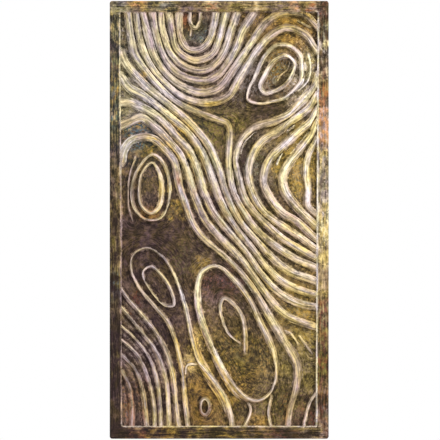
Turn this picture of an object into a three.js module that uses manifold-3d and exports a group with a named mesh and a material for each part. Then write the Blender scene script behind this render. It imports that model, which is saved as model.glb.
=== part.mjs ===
// Carved wooden wall panel: one thick board whose front is sunk inside a plain flat border,
// with the ground cut away around flowing ridges that enlarge the figure of wood grain and its knots.
// The carving is laid out on the face with x to the right, y up and z towards the viewer.
// The finished board is then stood up, with its back flat against the wall at y = 0 and its face to -Y.

import * as THREE from 'three';
import { mergeVertices } from 'three/addons/utils/BufferGeometryUtils.js';
import Module from 'manifold-3d';

// The board, in millimetres.
const PANEL_WIDTH = 610;
const PANEL_HEIGHT = 1220;
const PANEL_THICKNESS = 38;
const EASED_EDGE = 2;
const OUTER_CORNER_RADIUS = 7;

// The plain border around the sunk field. The field's sides were cut by hand: each stands out a little
// more at the top than at half height, and less at the bottom.
const BORDER_LEFT = 30.5;
const BORDER_RIGHT = 33;
const BORDER_TOP = 30.5;
const BORDER_BOTTOM = 33.5;
const FIELD_CORNER_RADIUS = 6;
const FIELD_FLARE = 2.5;

// The carving inside the field. Ridges rise from the sunk ground to just under the border's level.
const FIELD_DEPTH = 12;
const RIDGE_HEIGHT = 10;
const RIDGE_WIDTH = 20;
const KNOT_RIDGE_WIDTH = 16;
const SMALL_RIDGE_WIDTH = 9;
const CREST_SHARE = 0.5;
const RUNOUT_SHARE = 0.4;

// How ridges are rooted and how finely their courses are cut.
const ROOT_DEPTH = 3;
const BORDER_BITE = 7;
const CHORD_ERROR = 0.8;
const CORNER_STEPS = 4;
const DENSE_STEPS_PER_POINT = 16;
const WELD_DISTANCE = 1e-4;
const EYE_COURSE_POINTS = 8;
const PROFILE_CORNERS = 6;

const GROUND_LEVEL = PANEL_THICKNESS - FIELD_DEPTH;
const FIELD_LEFT = -PANEL_WIDTH / 2 + BORDER_LEFT;
const FIELD_RIGHT = PANEL_WIDTH / 2 - BORDER_RIGHT;
const FIELD_TOP = PANEL_HEIGHT / 2 - BORDER_TOP;
const FIELD_BOTTOM = -PANEL_HEIGHT / 2 + BORDER_BOTTOM;

// Courses of the ridge crests: a few places on the face that each crest passes, from the panel's centre.

// The long flow from the left border down to the right border, each ridge above the one before.
const MAIN_FLOW = [
  [[-271, 161], [-263, 200], [-246, 220], [-210, 231], [-179, 224], [-154, 202], [-126, 167], [-109, 97],
    [-87, 30], [-68, -17], [-37, -56], [21, -105], [83, -171], [136, -260], [180, -337], [216, -402],
    [216, -458], [197, -536], [193, -578]],
  [[-275, 262], [-249, 274], [-215, 286], [-185, 266], [-146, 230], [-105, 181], [-79, 111], [-61, 57],
    [-33, -1], [14, -56], [63, -109], [108, -172], [150, -229], [191, -266], [230, -282], [272, -295]],
  [[-275, 329], [-249, 329], [-218, 316], [-165, 285], [-115, 230], [-82, 196], [-57, 139], [-41, 83],
    [-16, 27], [26, -28], [77, -87], [116, -146], [163, -196], [216, -227], [272, -239]],
  [[-275, 401], [-250, 368], [-207, 345], [-140, 291], [-87, 248], [-45, 188], [-15, 111], [6, 55],
    [37, -1], [97, -84], [163, -160], [216, -189], [272, -205]],
  [[-275, 468], [-261, 437], [-233, 403], [-190, 361], [-132, 316], [-84, 274], [-29, 211], [-1, 150],
    [21, 80], [58, -1], [106, -56], [147, -101], [197, -140], [272, -167]],
  [[-253, 577], [-245, 516], [-236, 465], [-212, 428], [-165, 373], [-118, 330], [-45, 295], [8, 274],
    [25, 239], [26, 167], [40, 83], [69, 27], [112, -33], [169, -79], [225, -112], [275, -132]],
];

// The curves that swing in from the right border and back out to it.
const RIGHT_SWING = [
  [[275, 404], [266, 371], [236, 336], [195, 294], [148, 273], [102, 259], [67, 228], [46, 172],
    [56, 117], [76, 55], [122, 1], [172, -45], [236, -86], [278, -107]],
  [[275, 357], [251, 315], [200, 277], [163, 248], [119, 221], [92, 181], [81, 125], [92, 83],
    [124, 27], [183, -17], [233, -51], [273, -81]],
  [[275, 315], [257, 277], [225, 249], [186, 213], [141, 167], [125, 109], [141, 66], [177, 22],
    [219, -3], [264, -45], [275, -52]],
  [[272, 278], [257, 238], [225, 196], [190, 153], [177, 117], [186, 78], [228, 26], [275, -17]],
  [[272, 228], [248, 178], [241, 133], [247, 90], [248, 39], [273, 15]],
];

// The loops that hang from the top border around the half knot there, from the inside out.
const TOP_LOOPS = [
  [[-111, 577], [-112, 541], [-106, 504], [-86, 476], [-53, 477], [-27, 502], [-15, 543], [-9, 577]],
  [[-142, 577], [-130, 524], [-118, 475], [-67, 444], [-20, 462], [0, 506], [8, 538], [19, 577]],
  [[-162, 577], [-162, 546], [-152, 504], [-136, 467], [-107, 435], [-61, 417], [-22, 427], [12, 467],
    [31, 521], [50, 577]],
  [[-185, 577], [-172, 513], [-155, 457], [-128, 419], [-94, 398], [-37, 389], [5, 412], [47, 477],
    [63, 523], [97, 576]],
  [[-214, 577], [-195, 509], [-179, 457], [-140, 398], [-98, 370], [-48, 355], [-1, 368], [40, 422],
    [90, 493], [127, 548], [163, 574], [200, 579], [241, 571], [275, 538]],
  [[-229, 574], [-223, 507], [-192, 432], [-148, 380], [-103, 343], [-40, 327], [21, 343], [55, 394],
    [108, 477], [151, 519], [189, 534], [239, 516], [273, 471]],
];

// The ridges that fan down from the left border to the bottom border.
const LEFT_FAN = [
  [[-277, -185], [-263, -208], [-210, -270], [-159, -341], [-130, -422], [-119, -524], [-112, -578]],
  [[-277, -238], [-232, -292], [-173, -369], [-149, -441], [-141, -536], [-140, -578]],
  [[-277, -291], [-228, -337], [-187, -400], [-167, -483], [-162, -578]],
  [[-277, -330], [-226, -379], [-194, -455], [-180, -536], [-180, -578]],
  [[-277, -369], [-232, -419], [-211, -486], [-201, -578]],
  [[-277, -411], [-252, -459], [-242, -517], [-242, -578]],
];

// The tall loop that rises from the bottom border around the lower left knot.
const TALL_LOOP = [[-87, -578], [-97, -486], [-103, -425], [-116, -362], [-140, -290], [-176, -245],
  [-224, -187], [-245, -137], [-239, -97], [-201, -78], [-159, -102], [-121, -162], [-94, -245],
  [-78, -325], [-57, -391], [-28, -430], [13, -490], [34, -545], [37, -578]];

// Closed rings around the knots.
const KNOT_RINGS = [
  [[186, 458], [152, 444], [126, 404], [113, 371], [127, 353], [167, 365], [195, 391], [211, 435]],
  [[80, 334], [81, 359], [98, 396], [126, 454], [157, 485], [195, 485], [226, 458], [232, 418],
    [230, 387], [214, 365], [186, 341], [152, 331], [113, 325]],
  [[-187, 182], [-161, 167], [-140, 111], [-143, 41], [-165, 4], [-204, 1], [-237, 31], [-245, 89],
    [-224, 147]],
  [[-187, 160], [-165, 128], [-158, 75], [-167, 34], [-192, 18], [-219, 41], [-224, 89], [-215, 133]],
  [[-192, -129], [-213, -146], [-192, -196], [-152, -238], [-127, -238], [-135, -194], [-159, -156]],
  [[-6, -128], [45, -170], [84, -222], [111, -280], [150, -365], [158, -436], [137, -487], [99, -503],
    [58, -480], [14, -417], [-23, -344], [-52, -280], [-65, -196], [-47, -144]],
];

// The small eye low in the field, an upright oval.
const EYE_CENTRE = [-40, -521];
const EYE_HALF_WIDTH = 12;
const EYE_HALF_HEIGHT = 22;

// Short ridges with free ends, and those that run from the field into a border.
const OPEN_RING = [[58, -345], [23, -313], [3, -246], [13, -219], [54, -252], [70, -302], [72, -369]];
const HALF_KNOT_HEART = [[-82, 577], [-81, 549], [-66, 535], [-55, 552], [-52, 577]];
const FOOT_RIDGES = [
  [[82, -510], [88, -531], [70, -578]],
  [[146, -492], [137, -536], [144, -578]],
];
const CORNER_RIDGE = [[274, -475], [251, -515], [236, -578]];
const SHORT_RIDGES = [
  [[222, 555], [240, 545], [255, 537]],
  [[196, 437], [189, 418], [171, 403], [163, 388]],
  [[249, 460], [254, 420], [246, 388], [226, 366], [200, 348], [184, 336]],
  [[236, 450], [238, 420], [233, 396]],
  [[-96, -433], [-89, -405], [-63, -402]],
  [[185, -310], [199, -317], [219, -344]],
  [[224, -326], [258, -372]],
  [[100, 246], [84, 230], [70, 216], [64, 200], [61, 186]],
  [[269, 263], [234, 224], [214, 198], [195, 177]],
  [[190, 246], [199, 257], [208, 264]],
  [[162, 156], [170, 176], [180, 193]],
  [[-233, 176], [-249, 125], [-254, 71], [-252, 35], [-241, -2]],
  [[-76, 540], [-80, 515]],
];

const wasm = await Module();
wasm.setup();

// A rectangle with round corners, given by its four sides.
function roundedRectangle(left, bottom, right, top, radius) {
  const shape = new THREE.Shape();
  shape.absarc(right - radius, bottom + radius, radius, -Math.PI / 2, 0);
  shape.absarc(right - radius, top - radius, radius, 0, Math.PI / 2);
  shape.absarc(left + radius, top - radius, radius, Math.PI / 2, Math.PI);
  shape.absarc(left + radius, bottom + radius, radius, Math.PI, 1.5 * Math.PI);
  return shape;
}

// Turns a closed geometry into a solid that can be joined and cut.
function toSolid(geometry) {
  const bare = geometry.clone();
  bare.deleteAttribute('normal');
  bare.deleteAttribute('uv');
  const merged = mergeVertices(bare, WELD_DISTANCE);
  return new wasm.Manifold(new wasm.Mesh({
    numProp: 3,
    vertProperties: merged.attributes.position.array,
    triVerts: merged.index.array,
  }));
}

// Turns a finished solid back into a geometry with flat faces.
function toGeometry(solid) {
  const mesh = solid.getMesh();
  const geometry = new THREE.BufferGeometry();
  geometry.setAttribute('position', new THREE.BufferAttribute(mesh.vertProperties, 3));
  geometry.setIndex(new THREE.BufferAttribute(mesh.triVerts, 1));
  geometry.computeVertexNormals();
  return geometry;
}

// Leans the sides of the field's cutter outward towards the top.
function flare(geometry) {
  const places = geometry.attributes.position;
  for (let i = 0; i < places.count; i += 1) {
    const growth = (FIELD_FLARE * places.getY(i)) / (FIELD_TOP * FIELD_RIGHT);
    places.setX(i, places.getX(i) * (1 + growth));
  }
}

// The board with its edges eased and its field sunk, before the ridges are put back.
function sunkBoard() {
  const outline = roundedRectangle(
    -PANEL_WIDTH / 2 + EASED_EDGE, -PANEL_HEIGHT / 2 + EASED_EDGE,
    PANEL_WIDTH / 2 - EASED_EDGE, PANEL_HEIGHT / 2 - EASED_EDGE, OUTER_CORNER_RADIUS - EASED_EDGE,
  );
  const board = new THREE.ExtrudeGeometry(outline, {
    depth: PANEL_THICKNESS - 2 * EASED_EDGE,
    bevelThickness: EASED_EDGE,
    bevelSize: EASED_EDGE,
    bevelSegments: 1,
    curveSegments: CORNER_STEPS,
  });
  board.translate(0, 0, EASED_EDGE);
  const field = new THREE.ExtrudeGeometry(
    roundedRectangle(FIELD_LEFT, FIELD_BOTTOM, FIELD_RIGHT, FIELD_TOP, FIELD_CORNER_RADIUS),
    { depth: 2 * FIELD_DEPTH, bevelEnabled: false, curveSegments: CORNER_STEPS },
  );
  field.translate(0, 0, GROUND_LEVEL);
  flare(field);
  return toSolid(board).subtract(toSolid(field));
}

// Distance of a point from the straight line between two others.
function offLine(point, start, end) {
  const along = new THREE.Vector2().subVectors(end, start);
  const away = new THREE.Vector2().subVectors(point, start);
  return Math.abs(along.cross(away)) / along.length();
}

// The places along a smooth crest where its straight facets meet: as few as keep each facet true.
function facetStations(course, closed) {
  const curve = new THREE.CatmullRomCurve3(course.map(([x, y]) => new THREE.Vector3(x, y, 0)), closed);
  const steps = course.length * DENSE_STEPS_PER_POINT;
  const dense = Array.from({ length: steps + 1 }, (_, i) => curve.getPoint(i / steps));
  const places = dense.map((p) => new THREE.Vector2(p.x, p.y));
  const kept = [0];
  for (let next = 2; next <= steps; next += 1) {
    const last = kept[kept.length - 1];
    const between = places.slice(last + 1, next);
    const strays = places[last].distanceTo(places[next]) < WELD_DISTANCE
      || between.some((p) => offLine(p, places[last], places[next]) > CHORD_ERROR);
    if (strays) {
      kept.push(next - 1);
    }
  }
  if (!closed) {
    kept.push(steps);
  }
  return kept.map((i) => {
    const tangent = curve.getTangent(i / steps);
    return { place: places[i], along: new THREE.Vector2(tangent.x, tangent.y).normalize() };
  });
}

// One ridge: a flat-crested bank swept along its course. Ends are 'border', which run on into the
// border, or 'free', which sink and narrow to a run-out in the ground.
function ridge(course, width, { closed = false, start = 'border', end = 'border' } = {}) {
  const stations = facetStations(course, closed);
  const last = stations.length - 1;
  if (!closed && start === 'border') {
    stations[0].place.addScaledVector(stations[0].along, -BORDER_BITE);
  }
  if (!closed && end === 'border') {
    stations[last].place.addScaledVector(stations[last].along, BORDER_BITE);
  }
  const positions = [];
  stations.forEach(({ place, along }, i) => {
    const runsOut = !closed && ((i === 0 && start === 'free') || (i === last && end === 'free'));
    const share = runsOut ? RUNOUT_SHARE : 1;
    const foot = (width / 2) * share;
    const crest = foot * CREST_SHARE;
    const top = GROUND_LEVEL + RIDGE_HEIGHT * share;
    const root = GROUND_LEVEL - ROOT_DEPTH;
    const profile = [[-foot, root], [-foot, GROUND_LEVEL], [-crest, top], [crest, top],
      [foot, GROUND_LEVEL], [foot, root]];
    profile.forEach(([side, level]) => {
      positions.push(place.x + along.y * side, place.y - along.x * side, level);
    });
  });
  const index = [];
  const spans = closed ? stations.length : last;
  for (let i = 0; i < spans; i += 1) {
    const here = i * PROFILE_CORNERS;
    const there = ((i + 1) % stations.length) * PROFILE_CORNERS;
    for (let k = 0; k < PROFILE_CORNERS; k += 1) {
      const next = (k + 1) % PROFILE_CORNERS;
      index.push(here + k, there + next, there + k, here + k, here + next, there + next);
    }
  }
  if (!closed) {
    const far = last * PROFILE_CORNERS;
    for (let k = 1; k < PROFILE_CORNERS - 1; k += 1) {
      index.push(0, k + 1, k, far, far + k, far + k + 1);
    }
  }
  const geometry = new THREE.BufferGeometry();
  geometry.setAttribute('position', new THREE.Float32BufferAttribute(positions, 3));
  geometry.setIndex(index);
  return toSolid(geometry);
}

// The places that the eye's oval course passes.
function ovalCourse([x, y], halfWidth, halfHeight) {
  return Array.from({ length: EYE_COURSE_POINTS }, (_, i) => {
    const angle = (2 * Math.PI * i) / EYE_COURSE_POINTS;
    return [x + halfWidth * Math.cos(angle), y + halfHeight * Math.sin(angle)];
  });
}

// Every ridge of the carving, as its own solid.
function allRidges() {
  const ring = { closed: true };
  return [
    ...[...MAIN_FLOW, ...RIGHT_SWING, ...TOP_LOOPS, ...LEFT_FAN, TALL_LOOP].map((c) => ridge(c, RIDGE_WIDTH)),
    ...KNOT_RINGS.map((course) => ridge(course, KNOT_RIDGE_WIDTH, ring)),
    ridge(ovalCourse(EYE_CENTRE, EYE_HALF_WIDTH, EYE_HALF_HEIGHT), SMALL_RIDGE_WIDTH, ring),
    ridge(OPEN_RING, KNOT_RIDGE_WIDTH, { start: 'free', end: 'free' }),
    ridge(HALF_KNOT_HEART, SMALL_RIDGE_WIDTH),
    ...FOOT_RIDGES.map((course) => ridge(course, KNOT_RIDGE_WIDTH, { start: 'free' })),
    ridge(CORNER_RIDGE, KNOT_RIDGE_WIDTH),
    ...SHORT_RIDGES.map((course) => ridge(course, SMALL_RIDGE_WIDTH, { start: 'free', end: 'free' })),
  ];
}

// The whole board in one piece: the ridges grow out of its ground.
const carved = allRidges().reduce((board, bank) => board.add(bank), sunkBoard());

const patinatedWood = new THREE.MeshStandardMaterial({ color: '#6b5a45', roughness: 0.55, metalness: 0.2 });

const carvedPanel = new THREE.Mesh(toGeometry(carved), patinatedWood);
carvedPanel.name = 'carved_panel';
carvedPanel.rotation.x = Math.PI / 2;

const group = new THREE.Group();
group.add(carvedPanel);

export default group;
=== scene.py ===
"""Looks of a carved wooden wall panel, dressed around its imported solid.

The panel is one thick board: a plain flat border around a sunk field, where the ground is cut away
around flowing ridges like enlarged wood grain. It is stained dark, and metallic waxes in cream, gold,
mauve and olive are rubbed over the high places. Sizes are in millimetres, x to the right and z up from
the middle of the panel, and height is measured out from the back. Meshes are made in metres.
"""

import logging
import math
from dataclasses import dataclass, field
from enum import Enum

import bpy
import numpy as np
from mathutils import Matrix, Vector
from mathutils.geometry import delaunay_2d_cdt

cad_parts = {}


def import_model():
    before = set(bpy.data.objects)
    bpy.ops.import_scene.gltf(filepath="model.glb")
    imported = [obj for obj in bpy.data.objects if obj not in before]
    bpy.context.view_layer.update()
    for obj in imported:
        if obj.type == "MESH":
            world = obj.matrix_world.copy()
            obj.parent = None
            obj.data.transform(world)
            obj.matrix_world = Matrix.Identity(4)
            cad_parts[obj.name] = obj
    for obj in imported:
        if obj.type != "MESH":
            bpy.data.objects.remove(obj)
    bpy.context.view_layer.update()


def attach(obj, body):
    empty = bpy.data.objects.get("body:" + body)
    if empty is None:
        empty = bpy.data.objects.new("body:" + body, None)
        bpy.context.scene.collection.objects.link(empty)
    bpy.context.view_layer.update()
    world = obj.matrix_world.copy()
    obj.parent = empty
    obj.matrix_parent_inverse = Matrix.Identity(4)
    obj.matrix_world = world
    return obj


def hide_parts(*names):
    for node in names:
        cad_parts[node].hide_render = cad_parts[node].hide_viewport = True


LOG = logging.getLogger("carved_panel")
MM = 0.001
# FAR stands for no ridge in reach, and the shifts give each ridge and side its own part of a noise.
FAR = -99.0
NOISE_SHIFT = 900
STREAK_SHIFT = 1000
SIDE_SHIFT = 40
CORNER_POINTS = 7

Place = tuple[float, float]
Widths = tuple[float, ...]
Links = list[tuple[int, int]]
Row = tuple[int, np.ndarray, bool, bool]


def hex_to_linear(code: str) -> tuple[float, float, float]:
    """Turn an sRGB hex colour into the linear values that shaders use."""
    channels = [int(code[i:i + 2], 16) / 255 for i in (1, 3, 5)]
    return tuple(c / 12.92 if c <= 0.04045 else ((c + 0.055) / 1.055) ** 2.4 for c in channels)


def smoothstep(low: float | np.ndarray, high: float | np.ndarray, value: np.ndarray) -> np.ndarray:
    """Rise smoothly from 0 at low to 1 at high."""
    t = np.clip((value - low) / (high - low), 0, 1)
    return t * t * (3 - 2 * t)


@dataclass(frozen=True)
class Noise:
    """Smooth seeded noise: the sizes of its cells, the seed that picks the pattern, and its strength."""

    cell_x: float
    cell_y: float
    seed: int
    weight: float = 1.0

    def at(self, x: np.ndarray, y: np.ndarray) -> np.ndarray:
        """Read the noise.

        Args:
            x: First coordinate of each place.
            y: Second coordinate of each place.

        Returns:
            One value for each place, from 0 to the weight.
        """
        table = np.random.default_rng(self.seed).random((256, 256))
        gx, gy = x / self.cell_x, y / self.cell_y
        ix, iy = np.floor(gx).astype(int), np.floor(gy).astype(int)
        fx, fy = gx - ix, gy - iy
        fx, fy = fx * fx * (3 - 2 * fx), fy * fy * (3 - 2 * fy)
        here, right = table[ix % 256, iy % 256], table[(ix + 1) % 256, iy % 256]
        above, across = table[ix % 256, (iy + 1) % 256], table[(ix + 1) % 256, (iy + 1) % 256]
        low, high = here * (1 - fx) + right * fx, above * (1 - fx) + across * fx
        return self.weight * (low * (1 - fy) + high * fy)


def summed(noises: tuple[Noise, ...], x: np.ndarray, y: np.ndarray) -> np.ndarray:
    """Add up several layers of noise."""
    return sum(noise.at(x, y) for noise in noises)


def smooth_course(course: tuple[Place, ...], closed: bool, steps: int = 16) -> np.ndarray:
    """Run a smooth curve through the places of a course, without overshoot where they bunch.

    Args:
        course: The places to pass.
        closed: Whether the curve returns to its start.
        steps: Points for each span.

    Returns:
        The points of the curve.
    """
    p = np.array(course, float)
    count = len(p)
    out = []
    for i in range(count if closed else count - 1):
        p1, p2 = p[i], p[(i + 1) % count]
        p0 = p[i - 1] if closed or i else 2 * p1 - p2
        p3 = p[(i + 2) % count] if closed or i + 2 < count else 2 * p2 - p1
        t1 = math.sqrt(np.linalg.norm(p1 - p0))
        t2 = t1 + math.sqrt(np.linalg.norm(p2 - p1))
        t3 = t2 + math.sqrt(np.linalg.norm(p3 - p2))
        t = np.linspace(t1, t2, steps, endpoint=False)[:, None]
        a1 = p0 * (t1 - t) / t1 + p1 * t / t1
        a2 = p1 * (t2 - t) / (t2 - t1) + p2 * (t - t1) / (t2 - t1)
        a3 = p2 * (t3 - t) / (t3 - t2) + p3 * (t - t2) / (t3 - t2)
        b1 = a1 * (t2 - t) / t2 + a2 * t / t2
        b2 = a2 * (t3 - t) / (t3 - t1) + a3 * (t - t1) / (t3 - t1)
        out.append(b1 * (t2 - t) / (t2 - t1) + b2 * (t - t1) / (t2 - t1))
    out.append(p[:1] if closed else p[-1:])
    return np.concatenate(out)


def even_stations(path: np.ndarray, step: float) -> tuple[np.ndarray, np.ndarray]:
    """Place stations evenly along a path.

    Args:
        path: The curve's places.
        step: Distance wanted between stations.

    Returns:
        The stations, and how far along the path each one is.
    """
    lengths = np.r_[0, np.cumsum(np.linalg.norm(np.diff(path, axis=0), axis=1))]
    along = np.linspace(0, lengths[-1], max(3, round(lengths[-1] / step) + 1))
    return np.stack([np.interp(along, lengths, path[:, k]) for k in (0, 1)], axis=1), along


def spread(values: Widths, share: np.ndarray, closed: bool) -> np.ndarray:
    """Read values that are spread evenly along a course.

    Args:
        values: The values, from its start to its end.
        share: Shares of its length to read them at.
        closed: Whether the course returns to its start.

    Returns:
        One value for each share.
    """
    row = values + values[:1] if closed else values
    if len(row) == 1:
        return np.full(len(share), row[0])
    return np.interp(share, np.linspace(0, 1, len(row)), row)


@dataclass(frozen=True)
class Ridge:
    """One carved ridge: the places its crest passes, and how it is cut.

    left and right are the half-widths on each side of the direction of travel, spread evenly from its
    start to its end. ledge says how far its right side is a long slope and no steep bank.
    """

    name: str
    course: tuple[Place, ...]
    left: Widths = (9.0,)
    right: Widths = (10.0,)
    rise: float = 10.0
    ledge: Widths = (0.0,)
    closed: bool = False
    free_start: bool = False
    free_end: bool = False


MAIN_FLOW = (
    Ridge("flow_0", ((-271, 161), (-263, 200), (-246, 220), (-210, 231), (-179, 224), (-154, 202),
          (-126, 167), (-109, 97), (-87, 30), (-68, -17), (-37, -56), (21, -105), (83, -171),
          (136, -260), (180, -337), (216, -402), (216, -458), (197, -536), (193, -578)),
          left=(12, 11, 10, 10, 8, 8, 7, 6, 6, 8, 12, 13, 12, 7, 6),
          right=(10, 9, 10, 11, 10, 8, 7, 7, 9, 11, 11, 9, 9, 8)),
    Ridge("flow_1", ((-275, 262), (-249, 274), (-215, 286), (-185, 266), (-146, 230), (-105, 181),
          (-79, 111), (-61, 57), (-33, -1), (14, -56), (63, -109), (108, -172), (150, -229),
          (191, -266), (230, -282), (272, -295)), left=(10, 12, 9, 7, 7, 7, 7, 7, 8, 8, 9, 8, 6),
          right=(9, 11, 11, 12, 12, 13, 13, 12, 10, 10, 10, 12, 12)),
    Ridge("flow_2", ((-275, 329), (-249, 329), (-218, 316), (-165, 285), (-115, 230), (-82, 196),
          (-57, 139), (-41, 83), (-16, 27), (26, -28), (77, -87), (116, -146), (163, -196), (216, -227),
          (272, -239)), left=(12, 11, 10, 8, 7, 7, 6, 6, 7, 8, 8, 6),
          right=(12, 12, 10, 13, 13, 13, 12, 10, 9, 9, 12, 12)),
    Ridge("flow_3", ((-275, 401), (-250, 368), (-207, 345), (-140, 291), (-87, 248), (-45, 188),
          (-15, 111), (6, 55), (37, -1), (97, -84), (163, -160), (216, -189), (272, -205)),
          left=(12, 12, 11, 9, 8, 8, 8, 7, 7, 8, 9, 8, 6),
          right=(13, 12, 10, 11, 12, 12, 13, 11, 10, 9, 9, 12, 12)),
    Ridge("flow_4", ((-275, 468), (-261, 437), (-233, 403), (-190, 361), (-132, 316), (-84, 274),
          (-29, 211), (-1, 150), (21, 80), (58, -1), (106, -56), (147, -101), (197, -140), (272, -167)),
          left=(12, 12, 11, 11, 10, 8, 7, 6, 7, 7, 8, 8, 7),
          right=(12, 11, 10, 11, 11, 12, 11, 12, 10, 10, 11, 13, 13)),
    Ridge("flow_5", ((-253, 577), (-245, 516), (-236, 465), (-212, 428), (-165, 373), (-118, 330),
          (-45, 295), (0, 279), (24, 269), (31, 247), (28, 167), (40, 83), (69, 27), (112, -33),
          (169, -79), (225, -112), (275, -132)), left=(9, 10, 10, 9, 9, 8, 7, 8, 8, 7, 8, 8, 8),
          right=(11, 11, 10, 9, 8, 8, 9, 9, 9, 10, 10, 11, 10)),
)
RIGHT_SWING = (
    Ridge("swing_0", ((275, 404), (266, 371), (236, 336), (195, 294), (148, 273), (102, 259), (67, 228),
          (46, 172), (56, 117), (76, 55), (122, 1), (172, -45), (236, -86), (278, -107)),
          left=(8, 12, 13, 10, 8, 7, 9, 7, 7, 8, 8), right=(9, 12, 11, 9, 8, 9, 11, 12, 11, 11, 12)),
    Ridge("swing_1", ((275, 357), (251, 315), (200, 277), (163, 248), (119, 221), (92, 181), (81, 125),
          (92, 83), (124, 27), (183, -17), (233, -51), (273, -81)),
          left=(9, 13, 14, 13, 12, 10, 7, 7, 8), right=(9, 11, 10, 9, 10, 12, 12, 10, 12)),
    Ridge("swing_2", ((275, 315), (257, 277), (225, 249), (186, 213), (141, 167), (125, 109), (141, 66),
          (177, 22), (219, -3), (264, -45), (275, -52)), left=(7, 11, 13, 10, 10, 8, 9),
          right=(7, 10, 11, 12, 13, 12, 12)),
    Ridge("swing_3", ((272, 278), (257, 238), (225, 196), (190, 153), (177, 117), (186, 78), (228, 26),
          (275, -17)), left=(7, 9, 14, 13, 10, 8), right=(8, 9, 10, 12, 13, 12)),
    Ridge("swing_4", ((272, 228), (248, 178), (241, 133), (247, 90), (248, 39), (273, 15)),
          left=(6, 9, 12, 10, 8), right=(6, 7, 7, 8, 7)),
)
TOP_LOOPS = (
    Ridge("top_0", ((-111, 577), (-112, 541), (-106, 504), (-86, 476), (-53, 477), (-27, 502),
          (-15, 543), (-9, 577)), left=(9, 8, 8, 9, 10), right=(12, 11, 9, 10, 10)),
    Ridge("top_1", ((-142, 577), (-130, 524), (-118, 475), (-67, 444), (-20, 462), (0, 506), (8, 538),
          (19, 577)), left=(11, 10, 9, 9, 9, 10, 11), right=(11, 10, 9, 8, 9, 10, 11)),
    Ridge("top_2", ((-162, 577), (-162, 546), (-152, 504), (-136, 467), (-107, 435), (-61, 417),
          (-22, 427), (12, 467), (31, 521), (50, 577)), left=(10, 10, 9, 8, 8, 10, 10, 11),
          right=(11, 10, 9, 9, 10, 10, 10)),
    Ridge("top_3", ((-185, 577), (-172, 513), (-155, 457), (-128, 419), (-94, 398), (-37, 389),
          (5, 412), (47, 477), (63, 523), (97, 576)), left=(11, 9, 10, 9, 8, 10, 11, 12),
          right=(12, 11, 9, 9, 9, 9, 11, 10)),
    Ridge("top_4", ((-214, 577), (-195, 509), (-179, 457), (-140, 398), (-98, 370), (-48, 355),
          (-1, 368), (40, 422), (90, 493), (127, 548), (163, 574), (200, 579), (241, 571), (275, 538)),
          left=(10, 8, 9, 10, 9, 9, 10, 10, 10, 10, 7),
          right=(11, 12, 11, 9, 9, 10, 11, 10, 10, 9, 9, 8)),
    Ridge("top_5", ((-229, 574), (-223, 507), (-192, 432), (-148, 380), (-103, 343), (-40, 327),
          (21, 343), (55, 394), (108, 477), (151, 519), (189, 534), (239, 516), (273, 471)),
          left=(9, 9, 9, 8, 8, 8, 10, 11, 11, 10, 7), right=(11, 9, 9, 9, 9, 10, 12, 12, 10, 8, 8)),
)
LEFT_FAN = (
    Ridge("fan_0", ((-277, -185), (-263, -208), (-210, -270), (-159, -341), (-130, -422), (-119, -524),
          (-112, -578)), left=(5, 6, 7, 8, 8, 8), right=(10, 11, 11, 11, 10, 9),
          ledge=(1, 0.8, 0.4, 0, 0, 0)),
    Ridge("fan_1", ((-277, -238), (-232, -292), (-173, -369), (-149, -441), (-141, -536), (-140, -578)),
          left=(4, 5, 6, 8, 8), right=(11, 12, 11, 9, 9), ledge=(1, 1, 0.5, 0, 0, 0)),
    Ridge("fan_2", ((-277, -291), (-228, -337), (-187, -400), (-167, -483), (-162, -578)),
          left=(4, 5, 6, 7, 8), right=(10, 11, 11, 9, 9), ledge=(1, 1, 0.6, 0, 0)),
    Ridge("fan_3", ((-277, -330), (-226, -379), (-194, -455), (-180, -536), (-180, -578)),
          left=(4, 5, 6, 8, 8), right=(9, 11, 11, 9, 9), ledge=(1, 1, 0.6, 0, 0)),
    Ridge("fan_4", ((-277, -369), (-232, -419), (-211, -486), (-201, -578)), left=(4, 5, 8, 8),
          right=(9, 12, 11, 10), ledge=(1, 1, 0.3, 0)),
    Ridge("fan_5", ((-277, -411), (-252, -459), (-242, -517), (-242, -578)), left=(4, 6, 8, 9),
          right=(8, 12, 13, 12), ledge=(1, 0.6, 0.1, 0)),
)
TALL_LOOP = Ridge("tall_loop", ((-87, -578), (-97, -486), (-103, -425), (-116, -362), (-140, -290),
    (-176, -245), (-224, -187), (-245, -137), (-239, -97), (-201, -78), (-159, -102), (-121, -162),
    (-94, -245), (-78, -325), (-57, -391), (-28, -430), (13, -490), (34, -545), (37, -578)),
    left=(9, 9, 7, 7, 8, 8, 7, 5, 5, 5, 6, 8, 9, 17, 8, 8, 8),
    right=(8, 9, 8, 7, 7, 7, 6, 4, 4, 4, 6, 7, 7, 8, 22, 20, 9))
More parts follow.
